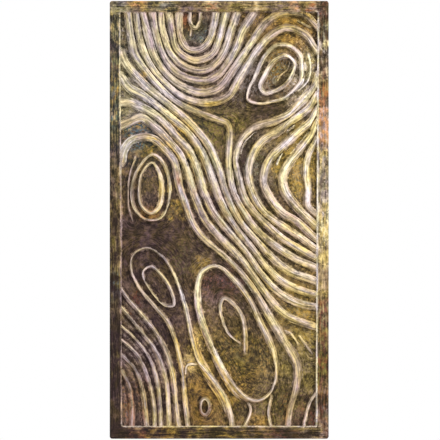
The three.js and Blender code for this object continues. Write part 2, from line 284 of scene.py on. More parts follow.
KNOT_RINGS = (
    Ridge("upper_right_inner", ((186, 458), (152, 444), (126, 404), (113, 371), (127, 353), (167, 365),
          (195, 391), (211, 435)), left=(7, 10, 10, 8, 8, 6), right=(6, 7, 7, 7, 7, 6), closed=True),
    Ridge("upper_right_outer", ((80, 334), (81, 359), (98, 396), (126, 454), (157, 485), (195, 485),
          (226, 458), (232, 418), (230, 387), (214, 365), (186, 341), (152, 331), (113, 325)),
          left=(5, 6, 8, 8, 8, 9, 8, 7, 6), right=(5, 6, 8, 8, 8, 9, 9, 7, 4), closed=True),
    Ridge("left_outer", ((-187, 182), (-161, 167), (-140, 111), (-143, 41), (-165, 4), (-204, 1),
          (-237, 31), (-245, 89), (-224, 147)), left=(5, 6, 6, 4, 4, 4, 4, 5),
          right=(6, 7, 5, 4, 4, 9, 9, 7), closed=True),
    Ridge("left_inner", ((-187, 160), (-165, 128), (-158, 75), (-167, 34), (-192, 18), (-219, 41),
          (-224, 89), (-215, 133)), left=(4, 7, 7, 6, 5, 5, 4), right=(5, 9, 12, 10, 6, 7, 6),
          closed=True),
    Ridge("lower_left_inner", ((-192, -129), (-213, -146), (-192, -196), (-152, -238), (-127, -238),
          (-135, -194), (-159, -156)), left=(6, 4, 4, 5, 7, 8), right=(4, 4, 3, 5, 5, 6), closed=True),
    Ridge("low_outer", ((-6, -128), (45, -170), (84, -222), (111, -280), (150, -365), (158, -436),
          (137, -487), (99, -503), (58, -480), (14, -417), (-23, -344), (-52, -280), (-62, -196),
          (-47, -144)), left=(6, 9, 9, 11, 12, 10, 4, 9, 23, 19, 16, 9, 10, 8),
          right=(8, 9, 10, 10, 10, 6, 4, 4, 6, 6, 6, 14, 14, 9), closed=True),
)
OPEN_RING = Ridge("open_ring", ((58, -345), (23, -313), (3, -246), (13, -219), (54, -252), (70, -302),
    (72, -369)), left=(4, 5, 8, 9, 8), right=(4, 5, 6, 8, 7), free_start=True, free_end=True)
HALF_KNOT = Ridge("half_knot", ((-82, 577), (-81, 549), (-66, 535), (-55, 552), (-52, 577)), left=(7,),
    right=(6,))
FOOT_RIDGES = (
    Ridge("foot_0", ((82, -510), (88, -531), (70, -578)), left=(5,), right=(6,), free_start=True),
    Ridge("foot_1", ((146, -492), (137, -536), (144, -578)), left=(6,), right=(5,), free_start=True),
    Ridge("corner", ((274, -475), (251, -515), (236, -578)), left=(5, 6), right=(5, 8)),
)
SHORT_RIDGES = (
    Ridge("cut_0", ((222, 555), (240, 545), (255, 537))),
    Ridge("cut_1", ((196, 437), (189, 418), (171, 403), (163, 388))),
    Ridge("cut_2", ((249, 460), (254, 420), (246, 388), (226, 366), (200, 348), (184, 336))),
    Ridge("cut_3", ((-96, -433), (-89, -405), (-63, -402))),
    Ridge("cut_4", ((185, -310), (199, -317), (219, -344))),
    Ridge("cut_5", ((224, -326), (258, -372))),
    Ridge("cut_6", ((100, 246), (84, 230), (70, 216), (64, 200), (61, 186))),
    Ridge("cut_7", ((269, 263), (234, 224), (214, 198), (195, 177))),
    Ridge("cut_8", ((-233, 176), (-249, 125), (-254, 71), (-252, 35), (-241, -2))),
    Ridge("cut_9", ((-76, 540), (-80, 515))),
    Ridge("cut_10", ((236, 450), (238, 420), (233, 396))),
    Ridge("cut_11", ((190, 246), (199, 257), (208, 264))),
    Ridge("cut_12", ((162, 156), (170, 176), (180, 193))),
)
SHORT_WIDTH = 4.2
SHORT_RISE = 7.5
EYE_CENTRE = (-40, -521)
EYE_HALF = (12, 22)


class Tint(Enum):
    """Waxes and stains, as sRGB hex."""

    WHITE = "#f0e9da"
    CREAM = "#e2d6bd"
    BUTTER = "#ead9ab"
    HONEY = "#dfbd6b"
    STRAW = "#d6c08d"
    SILVER = "#cbc5ba"
    PEWTER = "#a29a8e"
    ROSE = "#c4a795"
    MAUVE = "#a8958d"
    TAUPE = "#8a766b"
    SAND = "#c1ad8e"
    KHAKI = "#a3905f"
    GOLD = "#b8964a"
    OLIVE = "#81753f"
    SAGE = "#8d8c74"
    BARK = "#8a7354"
    OCHRE = "#94702f"
    COPPER = "#a26a45"
    ORANGE = "#c79460"
    RUST = "#7a4433"
    TEAL = "#5f7472"
    DUSK = "#6f5b47"
    UMBER = "#5e4b3c"
    MOSS = "#57502f"
    PLUM = "#5a4546"
    BROWN_BLACK = "#34291b"
    OLIVE_BLACK = "#38311c"
    PLUM_BLACK = "#322624"
    BLUE_BLACK = "#2d3130"


@dataclass(frozen=True)
class Patch:
    """One soft-edged area: the tint rubbed on it, a second tint in flecks, and how much of them took.

    x and z are its middle, wide and high how far it reaches, and strength is its weight where it meets
    its neighbours.
    """

    tint: Tint
    fleck: Tint
    x: float
    z: float
    wide: float
    high: float
    cover: float = 1.0
    strength: float = 1.0


@dataclass(frozen=True)
class Rubbing:
    """Where the tints of one layer were rubbed on: two all over, and the areas of the others.

    ragged and rough say how far the broad and the fine noise push the areas' edges about.
    """

    base: Tint
    fleck: Tint
    cover: float
    patches: tuple[Patch, ...]
    base_weight: float = 0.15
    ragged: float = 18.0
    rough: float = 9.0
    broad: tuple[Noise, ...] = (Noise(31.0, 37.0, 3), Noise(29.0, 41.0, 4))
    fine: tuple[Noise, ...] = (Noise(11.0, 12.0, 5), Noise(12.0, 11.0, 6))

    def at(self, places: np.ndarray) -> tuple[np.ndarray, np.ndarray, np.ndarray]:
        """Blend the tints at each place.

        Args:
            places: The places on the face.

        Returns:
            Linear colours of the tint and its flecks, and how much of them took, from 0 to 1.
        """
        x, z = places[:, 0] + NOISE_SHIFT, places[:, 1] + NOISE_SHIFT
        broad = np.stack([noise.at(x, z) for noise in self.broad], axis=1) - 0.5
        fine = np.stack([noise.at(x, z) for noise in self.fine], axis=1) - 0.5
        moved = places + broad * 2 * self.ragged + fine * 2 * self.rough
        total = np.full(len(places), self.base_weight)
        tint = total[:, None] * np.array(hex_to_linear(self.base.value))
        fleck = total[:, None] * np.array(hex_to_linear(self.fleck.value))
        cover = total * self.cover
        for patch in self.patches:
            reach = ((moved[:, 0] - patch.x) / patch.wide) ** 2 + ((moved[:, 1] - patch.z) / patch.high) ** 2
            weight = patch.strength * np.exp(-reach)
            total = total + weight
            tint = tint + weight[:, None] * np.array(hex_to_linear(patch.tint.value))
            fleck = fleck + weight[:, None] * np.array(hex_to_linear(patch.fleck.value))
            cover = cover + weight * patch.cover
        return tint / total[:, None], fleck / total[:, None], cover / total


CREST_WAX = Rubbing(Tint.SAND, Tint.ROSE, 1.0, (
    Patch(Tint.PEWTER, Tint.SILVER, -235, 530, 30, 40),
    Patch(Tint.SILVER, Tint.CREAM, -225, 400, 60, 60),
    Patch(Tint.SILVER, Tint.CREAM, -150, 330, 60, 60),
    Patch(Tint.CREAM, Tint.MAUVE, -150, 515, 40, 50),
    Patch(Tint.MAUVE, Tint.SAND, -70, 400, 70, 60),
    Patch(Tint.CREAM, Tint.SILVER, 15, 520, 50, 50),
    Patch(Tint.CREAM, Tint.SILVER, 90, 440, 40, 60),
    Patch(Tint.KHAKI, Tint.SAND, 190, 545, 70, 35, 0.85, 1.5),
    Patch(Tint.SAND, Tint.CREAM, 150, 420, 40, 60),
    Patch(Tint.CREAM, Tint.WHITE, 235, 420, 35, 45),
    Patch(Tint.KHAKI, Tint.SAND, -10, 285, 60, 30),
    Patch(Tint.BUTTER, Tint.WHITE, 240, 290, 45, 60),
    Patch(Tint.SAND, Tint.KHAKI, 130, 265, 40, 30),
    Patch(Tint.MAUVE, Tint.SAND, -235, 170, 35, 45),
    Patch(Tint.TAUPE, Tint.MAUVE, -231, 60, 28, 70),
    Patch(Tint.BUTTER, Tint.STRAW, -160, 62, 16, 48, 1.0, 3.0),
    Patch(Tint.CREAM, Tint.SILVER, -40, 150, 70, 70),
    Patch(Tint.ROSE, Tint.SILVER, -90, 60, 30, 60),
    Patch(Tint.BUTTER, Tint.CREAM, 110, 170, 60, 60),
    Patch(Tint.BUTTER, Tint.WHITE, 210, 120, 60, 80),
    Patch(Tint.WHITE, Tint.WHITE, 181, 112, 12, 42, 1.0, 3.0),
    Patch(Tint.ROSE, Tint.SAND, 208, 20, 16, 40, 1.0, 2.0),
    Patch(Tint.WHITE, Tint.WHITE, 247, 425, 12, 45, 1.0, 3.0),
    Patch(Tint.GOLD, Tint.OLIVE, 205, 578, 45, 14, 0.45, 6.0),
    Patch(Tint.KHAKI, Tint.GOLD, 180, 412, 16, 26, 0.6, 4.0),
    Patch(Tint.TAUPE, Tint.COPPER, -190, 0, 40, 14, 0.6, 4.0),
    Patch(Tint.COPPER, Tint.BARK, -40, -540, 16, 12, 0.5, 5.0),
    Patch(Tint.HONEY, Tint.CREAM, -80, -402, 20, 14, 1.0, 4.0),
    Patch(Tint.HONEY, Tint.BUTTER, -68, -360, 14, 42, 1.0, 3.0),
    Patch(Tint.WHITE, Tint.CREAM, 216, 362, 24, 20, 1.0, 3.0),
    Patch(Tint.WHITE, Tint.SILVER, -262, 215, 18, 22, 1.0, 2.0),
    Patch(Tint.HONEY, Tint.SAND, -108, -415, 18, 65, 1.0, 4.0),
    Patch(Tint.SILVER, Tint.SAND, 60, 30, 50, 80),
    Patch(Tint.HONEY, Tint.GOLD, 72, -366, 10, 14, 1.0, 4.0),
    Patch(Tint.STRAW, Tint.GOLD, 155, -430, 14, 50, 1.0, 2.0),
    Patch(Tint.HONEY, Tint.CREAM, -172, 232, 22, 9, 1.0, 4.0),
    Patch(Tint.HONEY, Tint.BUTTER, -33, 330, 26, 10, 1.0, 3.0),
    Patch(Tint.BUTTER, Tint.CREAM, -123, 463, 14, 22, 1.0, 3.0),
    Patch(Tint.COPPER, Tint.ROSE, -122, 90, 8, 22, 0.9, 3.0),
    Patch(Tint.STRAW, Tint.CREAM, 200, -50, 80, 70),
    Patch(Tint.TAUPE, Tint.ROSE, -200, -110, 60, 50),
    Patch(Tint.MAUVE, Tint.SAND, -160, -160, 40, 60),
    Patch(Tint.CREAM, Tint.WHITE, -70, -190, 35, 70, 1.0, 3.0),
    Patch(Tint.SAND, Tint.CREAM, 20, -130, 60, 50),
    Patch(Tint.SAND, Tint.KHAKI, 90, -180, 30, 50),
    Patch(Tint.CREAM, Tint.STRAW, 190, -180, 80, 60),
    Patch(Tint.MAUVE, Tint.SAND, -200, -290, 60, 60),
    Patch(Tint.CREAM, Tint.STRAW, -70, -280, 35, 50),
    Patch(Tint.STRAW, Tint.CREAM, 150, -320, 50, 60),
    Patch(Tint.SAND, Tint.STRAW, 235, -350, 50, 80),
    Patch(Tint.BUTTER, Tint.STRAW, -75, -390, 30, 50),
    Patch(Tint.BUTTER, Tint.WHITE, 0, -400, 25, 60),
    Patch(Tint.GOLD, Tint.SAND, 80, -390, 30, 50),
    Patch(Tint.TAUPE, Tint.MAUVE, -225, -400, 50, 70),
    Patch(Tint.COPPER, Tint.TAUPE, -243, -520, 25, 50, 0.85),
    Patch(Tint.STRAW, Tint.SAND, -145, -510, 40, 70),
    Patch(Tint.KHAKI, Tint.STRAW, 30, -515, 60, 50),
    Patch(Tint.SAND, Tint.ROSE, 200, -500, 60, 60),
))
FLANK_WAX = Rubbing(Tint.BARK, Tint.SAND, 1.0, (
    Patch(Tint.PEWTER, Tint.SILVER, -200, 400, 90, 110),
    Patch(Tint.MAUVE, Tint.SAND, -60, 420, 80, 70),
    Patch(Tint.SAND, Tint.PEWTER, 30, 520, 50, 50),
    Patch(Tint.PEWTER, Tint.SAND, 80, 410, 50, 50),
    Patch(Tint.KHAKI, Tint.BARK, 200, 520, 80, 60, 0.9),
    Patch(Tint.SAND, Tint.CREAM, 235, 400, 40, 60),
    Patch(Tint.STRAW, Tint.SAND, 230, 270, 60, 70),
    Patch(Tint.BARK, Tint.KHAKI, 50, 260, 60, 50),
    Patch(Tint.TAUPE, Tint.BARK, -231, 90, 35, 90),
    Patch(Tint.BUTTER, Tint.HONEY, -164, 62, 16, 48, 1.0, 3.0),
    Patch(Tint.SAND, Tint.SAGE, 0, 170, 80, 70),
    Patch(Tint.STRAW, Tint.SAND, 210, 140, 70, 80),
    Patch(Tint.SAND, Tint.MAUVE, -60, 40, 60, 70),
    Patch(Tint.SAND, Tint.KHAKI, 160, 0, 90, 70),
    Patch(Tint.MAUVE, Tint.ROSE, 195, -20, 40, 30),
    Patch(Tint.UMBER, Tint.TAUPE, -190, -180, 80, 120),
    Patch(Tint.SAND, Tint.MAUVE, -76, -190, 35, 50),
    Patch(Tint.KHAKI, Tint.STRAW, 200, -200, 80, 90),
    Patch(Tint.BARK, Tint.SAGE, 90, -180, 40, 50),
    Patch(Tint.TAUPE, Tint.MAUVE, -210, -380, 70, 110),
    Patch(Tint.SAND, Tint.ROSE, -140, -490, 40, 90, 1.0, 2.5),
    Patch(Tint.TAUPE, Tint.COPPER, -240, -500, 40, 60, 1.0, 2.0),
    Patch(Tint.GOLD, Tint.STRAW, -70, -400, 30, 60),
    Patch(Tint.HONEY, Tint.GOLD, -62, -365, 16, 45, 1.0, 5.0),
    Patch(Tint.HONEY, Tint.GOLD, -108, -410, 16, 65, 1.0, 4.0),
    Patch(Tint.BARK, Tint.MAUVE, 35, -185, 25, 45, 1.0, 3.0),
    Patch(Tint.STRAW, Tint.ROSE, -35, -325, 28, 60, 1.0, 4.0),
    Patch(Tint.HONEY, Tint.SAND, 15, -425, 32, 42, 1.0, 4.0),
    Patch(Tint.HONEY, Tint.OCHRE, -15, -455, 22, 36, 1.0, 4.0),
    Patch(Tint.SAND, Tint.KHAKI, 140, -400, 22, 80, 1.0, 3.0),
    Patch(Tint.CREAM, Tint.ROSE, -58, -240, 20, 50, 1.0, 3.0),
    Patch(Tint.ROSE, Tint.SAND, 212, 15, 16, 40, 1.0, 2.0),
    Patch(Tint.KHAKI, Tint.SAND, 0, -330, 40, 70),
    Patch(Tint.WHITE, Tint.SILVER, -258, 208, 18, 24, 1.0, 3.0),
    Patch(Tint.HONEY, Tint.STRAW, -33, 325, 26, 10, 1.0, 4.0),
    Patch(Tint.HONEY, Tint.STRAW, -57, 195, 12, 16, 1.0, 4.0),
    Patch(Tint.STRAW, Tint.HONEY, -105, 235, 45, 50, 1.0, 1.5),
    Patch(Tint.HONEY, Tint.KHAKI, -204, 402, 14, 16, 1.0, 3.0),
    Patch(Tint.GOLD, Tint.STRAW, 20, -440, 40, 50),
    Patch(Tint.BARK, Tint.GOLD, 90, -400, 50, 60),
    Patch(Tint.KHAKI, Tint.MAUVE, 220, -400, 60, 80),
    Patch(Tint.BARK, Tint.TAUPE, -150, -510, 70, 70),
    Patch(Tint.UMBER, Tint.OCHRE, 150, -520, 70, 50),
))
GROUND_WAX = Rubbing(Tint.DUSK, Tint.BARK, 0.38, (
    Patch(Tint.DUSK, Tint.PEWTER, -235, 520, 40, 60, 0.5),
    Patch(Tint.TEAL, Tint.SAND, -190, 370, 80, 80, 0.5),
    Patch(Tint.DUSK, Tint.TAUPE, -50, 420, 80, 60, 0.42),
    Patch(Tint.TEAL, Tint.SAGE, -50, 510, 26, 26, 0.35),
    Patch(Tint.COPPER, Tint.RUST, -93, 548, 8, 18, 0.6, 2.0),
    Patch(Tint.BARK, Tint.GOLD, 110, 560, 40, 30, 0.55),
    Patch(Tint.OCHRE, Tint.GOLD, 200, 530, 60, 50, 0.46),
    Patch(Tint.DUSK, Tint.PEWTER, 70, 400, 40, 60, 0.42),
    Patch(Tint.OCHRE, Tint.SAGE, 168, 415, 26, 34, 0.42),
    Patch(Tint.KHAKI, Tint.CREAM, 240, 410, 30, 70, 0.44),
    Patch(Tint.OLIVE, Tint.BARK, 45, 290, 50, 40, 0.45),
    Patch(Tint.PLUM, Tint.UMBER, 125, 305, 35, 20, 0.35, 2.0),
    Patch(Tint.OLIVE, Tint.DUSK, -40, 240, 50, 50, 0.4),
    Patch(Tint.OLIVE, Tint.GOLD, 200, 190, 50, 60, 0.5),
    Patch(Tint.KHAKI, Tint.GOLD, 225, 110, 35, 80, 0.55),
    Patch(Tint.DUSK, Tint.SAGE, 100, 150, 35, 60, 0.45),
    Patch(Tint.PLUM, Tint.UMBER, 68, 140, 14, 50, 0.25, 2.0),
    Patch(Tint.GOLD, Tint.KHAKI, 266, 60, 18, 90, 0.55),
    Patch(Tint.DUSK, Tint.KHAKI, 200, -60, 80, 50, 0.45),
    Patch(Tint.KHAKI, Tint.GOLD, 240, -230, 60, 100, 0.55),
    Patch(Tint.KHAKI, Tint.OLIVE, 240, -390, 60, 70, 0.45),
    Patch(Tint.RUST, Tint.DUSK, 262, -545, 22, 28, 0.4, 2.0),
    Patch(Tint.BARK, Tint.OLIVE, 110, -520, 110, 50, 0.4),
    Patch(Tint.GOLD, Tint.OCHRE, 105, -557, 20, 14, 0.5, 3.0),
    Patch(Tint.OCHRE, Tint.GOLD, 66, -447, 26, 22, 0.44, 2.0),
    Patch(Tint.OCHRE, Tint.MOSS, 175, -515, 20, 36, 0.38, 2.0),
    Patch(Tint.OLIVE, Tint.GOLD, 60, -400, 60, 60, 0.38),
    Patch(Tint.DUSK, Tint.TAUPE, 10, -180, 60, 50, 0.48),
    Patch(Tint.UMBER, Tint.PLUM, -210, -50, 90, 90, 0.28),
    Patch(Tint.DUSK, Tint.BARK, -190, 90, 25, 60, 0.3),
    Patch(Tint.MOSS, Tint.UMBER, -105, -110, 50, 50, 0.4),
    Patch(Tint.GOLD, Tint.KHAKI, -50, -120, 22, 18, 0.35),
    Patch(Tint.RUST, Tint.UMBER, -232, -235, 14, 14, 0.4, 2.0),
    Patch(Tint.UMBER, Tint.PLUM, -215, -380, 80, 120, 0.35),
    Patch(Tint.DUSK, Tint.BARK, -125, -500, 30, 80, 0.4),
    Patch(Tint.OCHRE, Tint.OCHRE, -45, -490, 40, 70, 0.4),
    Patch(Tint.KHAKI, Tint.GOLD, -60, -400, 30, 50, 0.42),
    Patch(Tint.GOLD, Tint.COPPER, -193, 18, 14, 12, 0.5, 2.0),
    Patch(Tint.HONEY, Tint.OLIVE, -66, -355, 10, 34, 0.66, 4.0),
    Patch(Tint.PLUM, Tint.RUST, 5, -175, 45, 30, 0.31, 3.0),
    Patch(Tint.SAND, Tint.SAGE, -245, 345, 32, 36, 0.75, 2.5),
    Patch(Tint.OLIVE, Tint.GOLD, -131, 27, 13, 15, 0.5, 3.0),
    Patch(Tint.GOLD, Tint.OLIVE, -182, 200, 24, 12, 0.5, 3.0),
    Patch(Tint.TEAL, Tint.DUSK, -210, 225, 26, 14, 0.38, 3.0),
    Patch(Tint.TEAL, Tint.GOLD, -215, 256, 35, 12, 0.5, 3.0),
    Patch(Tint.HONEY, Tint.STRAW, -86, -398, 15, 18, 0.85, 4.0),
    Patch(Tint.OCHRE, Tint.GOLD, 10, -490, 50, 60, 0.36, 1.5),
))
BORDER_WAX = Rubbing(Tint.BARK, Tint.KHAKI, 0.45, (
    Patch(Tint.PEWTER, Tint.SAGE, -285, 592, 22, 22, 0.42),
    Patch(Tint.GOLD, Tint.ORANGE, -238, 600, 18, 12, 0.55),
    Patch(Tint.KHAKI, Tint.OLIVE, -197, 594, 18, 20, 0.42),
    Patch(Tint.SAGE, Tint.STRAW, -154, 596, 20, 20, 0.50),
    Patch(Tint.TAUPE, Tint.BARK, -100, 594, 35, 20, 0.42),
    Patch(Tint.ORANGE, Tint.STRAW, -28, 598, 16, 14, 0.50),
    Patch(Tint.BARK, Tint.KHAKI, 14, 594, 20, 20, 0.42),
    Patch(Tint.KHAKI, Tint.OLIVE, 60, 594, 18, 20, 0.48),
    Patch(Tint.GOLD, Tint.STRAW, 100, 597, 18, 16, 0.59),
    Patch(Tint.KHAKI, Tint.TAUPE, 160, 594, 30, 20, 0.42),
    Patch(Tint.ORANGE, Tint.ROSE, 208, 594, 8, 20, 0.67),
    Patch(Tint.OLIVE, Tint.BARK, 232, 598, 10, 14, 0.42),
    Patch(Tint.COPPER, Tint.ROSE, 258, 592, 12, 16, 0.50),
    Patch(Tint.RUST, Tint.TAUPE, 291, 585, 16, 30, 0.42),
    Patch(Tint.CREAM, Tint.STRAW, 280, 480, 7, 14, 1.0, 3.0),
    Patch(Tint.UMBER, Tint.SAGE, 291, 530, 20, 20, 0.30),
    Patch(Tint.BARK, Tint.CREAM, 291, 470, 20, 40, 0.40),
    Patch(Tint.BARK, Tint.STRAW, 291, 415, 20, 20, 0.38),
    Patch(Tint.COPPER, Tint.BARK, 291, 350, 20, 35, 0.50),
    Patch(Tint.ORANGE, Tint.ROSE, 291, 260, 20, 38, 0.67),
    Patch(Tint.STRAW, Tint.PEWTER, 291, 180, 20, 28, 0.6),
    Patch(Tint.PEWTER, Tint.MAUVE, 291, 112, 20, 35, 0.55),
    Patch(Tint.STRAW, Tint.CREAM, 291, 5, 20, 60, 0.7),
    Patch(Tint.KHAKI, Tint.STRAW, 288, -120, 18, 70, 0.6),
    Patch(Tint.RUST, Tint.BARK, 301, -145, 6, 30, 0.42),
    Patch(Tint.KHAKI, Tint.RUST, 291, -265, 20, 60, 0.49),
    Patch(Tint.OLIVE, Tint.RUST, 291, -400, 20, 60, 0.4),
    Patch(Tint.RUST, Tint.TAUPE, 291, -530, 20, 40, 0.30),
    Patch(Tint.SAGE, Tint.STRAW, -290, 540, 20, 35, 0.27),
    Patch(Tint.PLUM, Tint.TAUPE, -290, 475, 20, 25, 0.22),
    Patch(Tint.BARK, Tint.SAGE, -290, 430, 20, 25, 0.24),
    Patch(Tint.SAGE, Tint.GOLD, -290, 370, 20, 30, 0.26),
    Patch(Tint.TEAL, Tint.STRAW, -290, 290, 20, 38, 0.3),
    Patch(Tint.BARK, Tint.TAUPE, -290, 170, 20, 70, 0.20),
    Patch(Tint.BARK, Tint.KHAKI, -290, 50, 20, 50, 0.22),
    Patch(Tint.OLIVE, Tint.BARK, -290, -70, 20, 70, 0.09),
    Patch(Tint.OLIVE, Tint.TEAL, -290, -185, 20, 35, 0.08),
    Patch(Tint.TAUPE, Tint.PLUM, -290, -290, 20, 60, 0.06, 1.5),
    Patch(Tint.UMBER, Tint.OLIVE, -290, -385, 20, 35, 0.02, 2.5),
    Patch(Tint.UMBER, Tint.PLUM, -290, -520, 20, 90, 0.02, 2.5),
    Patch(Tint.RUST, Tint.COPPER, -228, -596, 24, 18, 0.15),
    Patch(Tint.OCHRE, Tint.GOLD, -160, -596, 38, 18, 0.20),
    Patch(Tint.OLIVE, Tint.GOLD, -85, -596, 32, 18, 0.17),
    Patch(Tint.UMBER, Tint.GOLD, 10, -596, 60, 18, 0.07),
    Patch(Tint.BARK, Tint.OCHRE, 105, -596, 35, 18, 0.14),
    Patch(Tint.RUST, Tint.PLUM, 180, -596, 40, 18, 0.10),
    Patch(Tint.STRAW, Tint.GOLD, 248, -596, 20, 18, 0.17),
    Patch(Tint.ROSE, Tint.RUST, 288, -590, 16, 24, 0.28),
))
# Rubbed wax along the border's inner edge, partly painted light: a painted highlight on the left and bottom
# walls, which face the light, and a darker line along the top, which faces away from it, as painted shade.
ARRIS_WAX_AND_PAINTED_LIGHT = Rubbing(Tint.MAUVE, Tint.ROSE, 0.8, (
    Patch(Tint.SILVER, Tint.CREAM, -275, 500, 20, 90, 0.85),
    Patch(Tint.CREAM, Tint.WHITE, -275, 340, 20, 60, 1.2),
    Patch(Tint.MAUVE, Tint.SILVER, -275, 160, 20, 60, 0.85),
    Patch(Tint.ROSE, Tint.MAUVE, -275, 0, 20, 90, 0.9),
    Patch(Tint.MAUVE, Tint.ROSE, -275, -140, 20, 60, 0.85),
    Patch(Tint.TAUPE, Tint.MAUVE, -275, -300, 20, 90, 0.65),
    Patch(Tint.TAUPE, Tint.ROSE, -275, -490, 20, 90, 0.75),
    *(Patch(Tint.CREAM, Tint.WHITE, 274, z, 20, 120, 1.4) for z in range(-480, 560, 160)),
    *(Patch(Tint.BUTTER, Tint.CREAM, x, -577, 60, 12, 1.0) for x in range(-240, 260, 80)),
    *(Patch(Tint.TAUPE, Tint.BARK, x, 579, 60, 14, 0.45) for x in range(-240, 260, 80)),
), base_weight=0.02, ragged=4.0, rough=3.0)
STAIN = Rubbing(Tint.BROWN_BLACK, Tint.BROWN_BLACK, 1.0, (
    Patch(Tint.OLIVE_BLACK, Tint.OLIVE_BLACK, 170, 0, 130, 300),
    Patch(Tint.BLUE_BLACK, Tint.BLUE_BLACK, -220, 380, 80, 180),
    Patch(Tint.PLUM_BLACK, Tint.PLUM_BLACK, -180, -350, 100, 200),
    Patch(Tint.OLIVE_BLACK, Tint.OLIVE_BLACK, 60, -480, 120, 90),
    Patch(Tint.PLUM_BLACK, Tint.PLUM_BLACK, -20, 60, 90, 90),
    Patch(Tint.BLUE_BLACK, Tint.BLUE_BLACK, -130, 240, 80, 100, 1.0, 1.5),
))


@dataclass
class Board:
    """The board's own sizes, the same as the solid's."""

    width: float = 610.0
    height: float = 1220.0
    thickness: float = 38.0
    corner_radius: float = 7.0
    edge_radius: float = 3.0
    back_edge: float = 2.0
    border_left: float = 30.5
    border_right: float = 33.0
    border_top: float = 30.5
    border_bottom: float = 33.5
    field_depth: float = 12.0
    field_corner_radius: float = 6.0
    field_flare: float = 2.5

    @property
    def ground(self) -> float:
        """Level of the sunk ground, out from the back."""
        return self.thickness - self.field_depth

    @property
    def half(self) -> np.ndarray:
        """Half the board's width and height."""
        return np.array([self.width / 2, self.height / 2])

    def field_middle_and_half(self) -> tuple[np.ndarray, np.ndarray]:
        """Lay out the field.

        Returns:
            The field's middle, and half its width and height.
        """
        low = np.array([self.border_left, self.border_bottom]) - self.half
        high = self.half - np.array([self.border_right, self.border_top])
        return (low + high) / 2, (high - low) / 2

    @staticmethod
    def inside(places: np.ndarray, middle: np.ndarray, half: np.ndarray, radius: float) -> np.ndarray:
        """Measure how deep places lie inside a rectangle with round corners.

        Args:
            places: The places to measure.
            middle: The rectangle's middle.
            half: Half its width and height.
            radius: Radius of its corners.

        Returns:
            The distance to its outline, below 0 outside it.
        """
        q = np.abs(places - middle) - (half - radius)
        outside = np.linalg.norm(np.maximum(q, 0), axis=1)
        return radius - outside - np.minimum(np.maximum(q[:, 0], q[:, 1]), 0)

    def growth(self, places: np.ndarray) -> np.ndarray:
        """Say how much wider than at half height the field is at each place."""
        _, half = self.field_middle_and_half()
        return 1 + self.field_flare * places[:, 1] / (half[0] * half[1])

    def inside_field(self, places: np.ndarray) -> np.ndarray:
        """Measure how deep places lie inside the field's outline.

        Args:
            places: The places on the face.

        Returns:
            The distance to the outline, below 0 on the border.
        """
        middle, half = self.field_middle_and_half()
        upright = np.stack([places[:, 0] / self.growth(places), places[:, 1]], axis=1)
        return self.inside(upright, middle, half, self.field_corner_radius)

    def inside_board(self, places: np.ndarray) -> np.ndarray:
        """Measure how deep places lie inside the board's outline."""
        return self.inside(places, np.zeros(2), self.half, self.corner_radius)

    @staticmethod
    def outline(middle: np.ndarray, half: np.ndarray, radius: float, step: float) -> np.ndarray:
        """Walk round a rectangle with round corners.

        Args:
            middle: The rectangle's middle.
            half: Half its width and height.
            radius: Radius of its corners.
            step: Distance wanted between points.

        Returns:
            The points of the walk, without its start at the end.
        """
        corners = []
        for k, (sx, sz) in enumerate(((1, -1), (1, 1), (-1, 1), (-1, -1))):
            angles = np.linspace(-math.pi / 2, 0, CORNER_POINTS) + k * math.pi / 2
            hub = middle + np.array([sx, sz]) * (half - radius)
            corners.append(hub + radius * np.stack([np.cos(angles), np.sin(angles)], axis=1))
        path = np.concatenate(corners + [corners[0][:1]])
        parts = []
        for start, end in zip(path[:-1], path[1:]):
            count = max(1, round(float(np.linalg.norm(end - start)) / step))
            parts.append(start + (end - start) * np.arange(count)[:, None] / count)
        return np.concatenate(parts)


@dataclass
class Surface:
    """What the carving gives at a set of places.

    inside and rival_inside say how far each place is inside the first and the second ridge there, and
    owner and rival are their numbers, or -1. guide is the nearest ridge, also where it doesn't reach.
    distance and side are taken from its crest line, along is the way travelled on it, and lean is 1
    where the flank faces the upper right, -1 where it faces the lower left. height is over the
    ground, and rub says how well wax takes there.
    """

    inside: np.ndarray
    rival_inside: np.ndarray
    owner: np.ndarray
    rival: np.ndarray
    guide: np.ndarray
    distance: np.ndarray
    side: np.ndarray
    along: np.ndarray
    lean: np.ndarray
    height: np.ndarray
    rub: np.ndarray


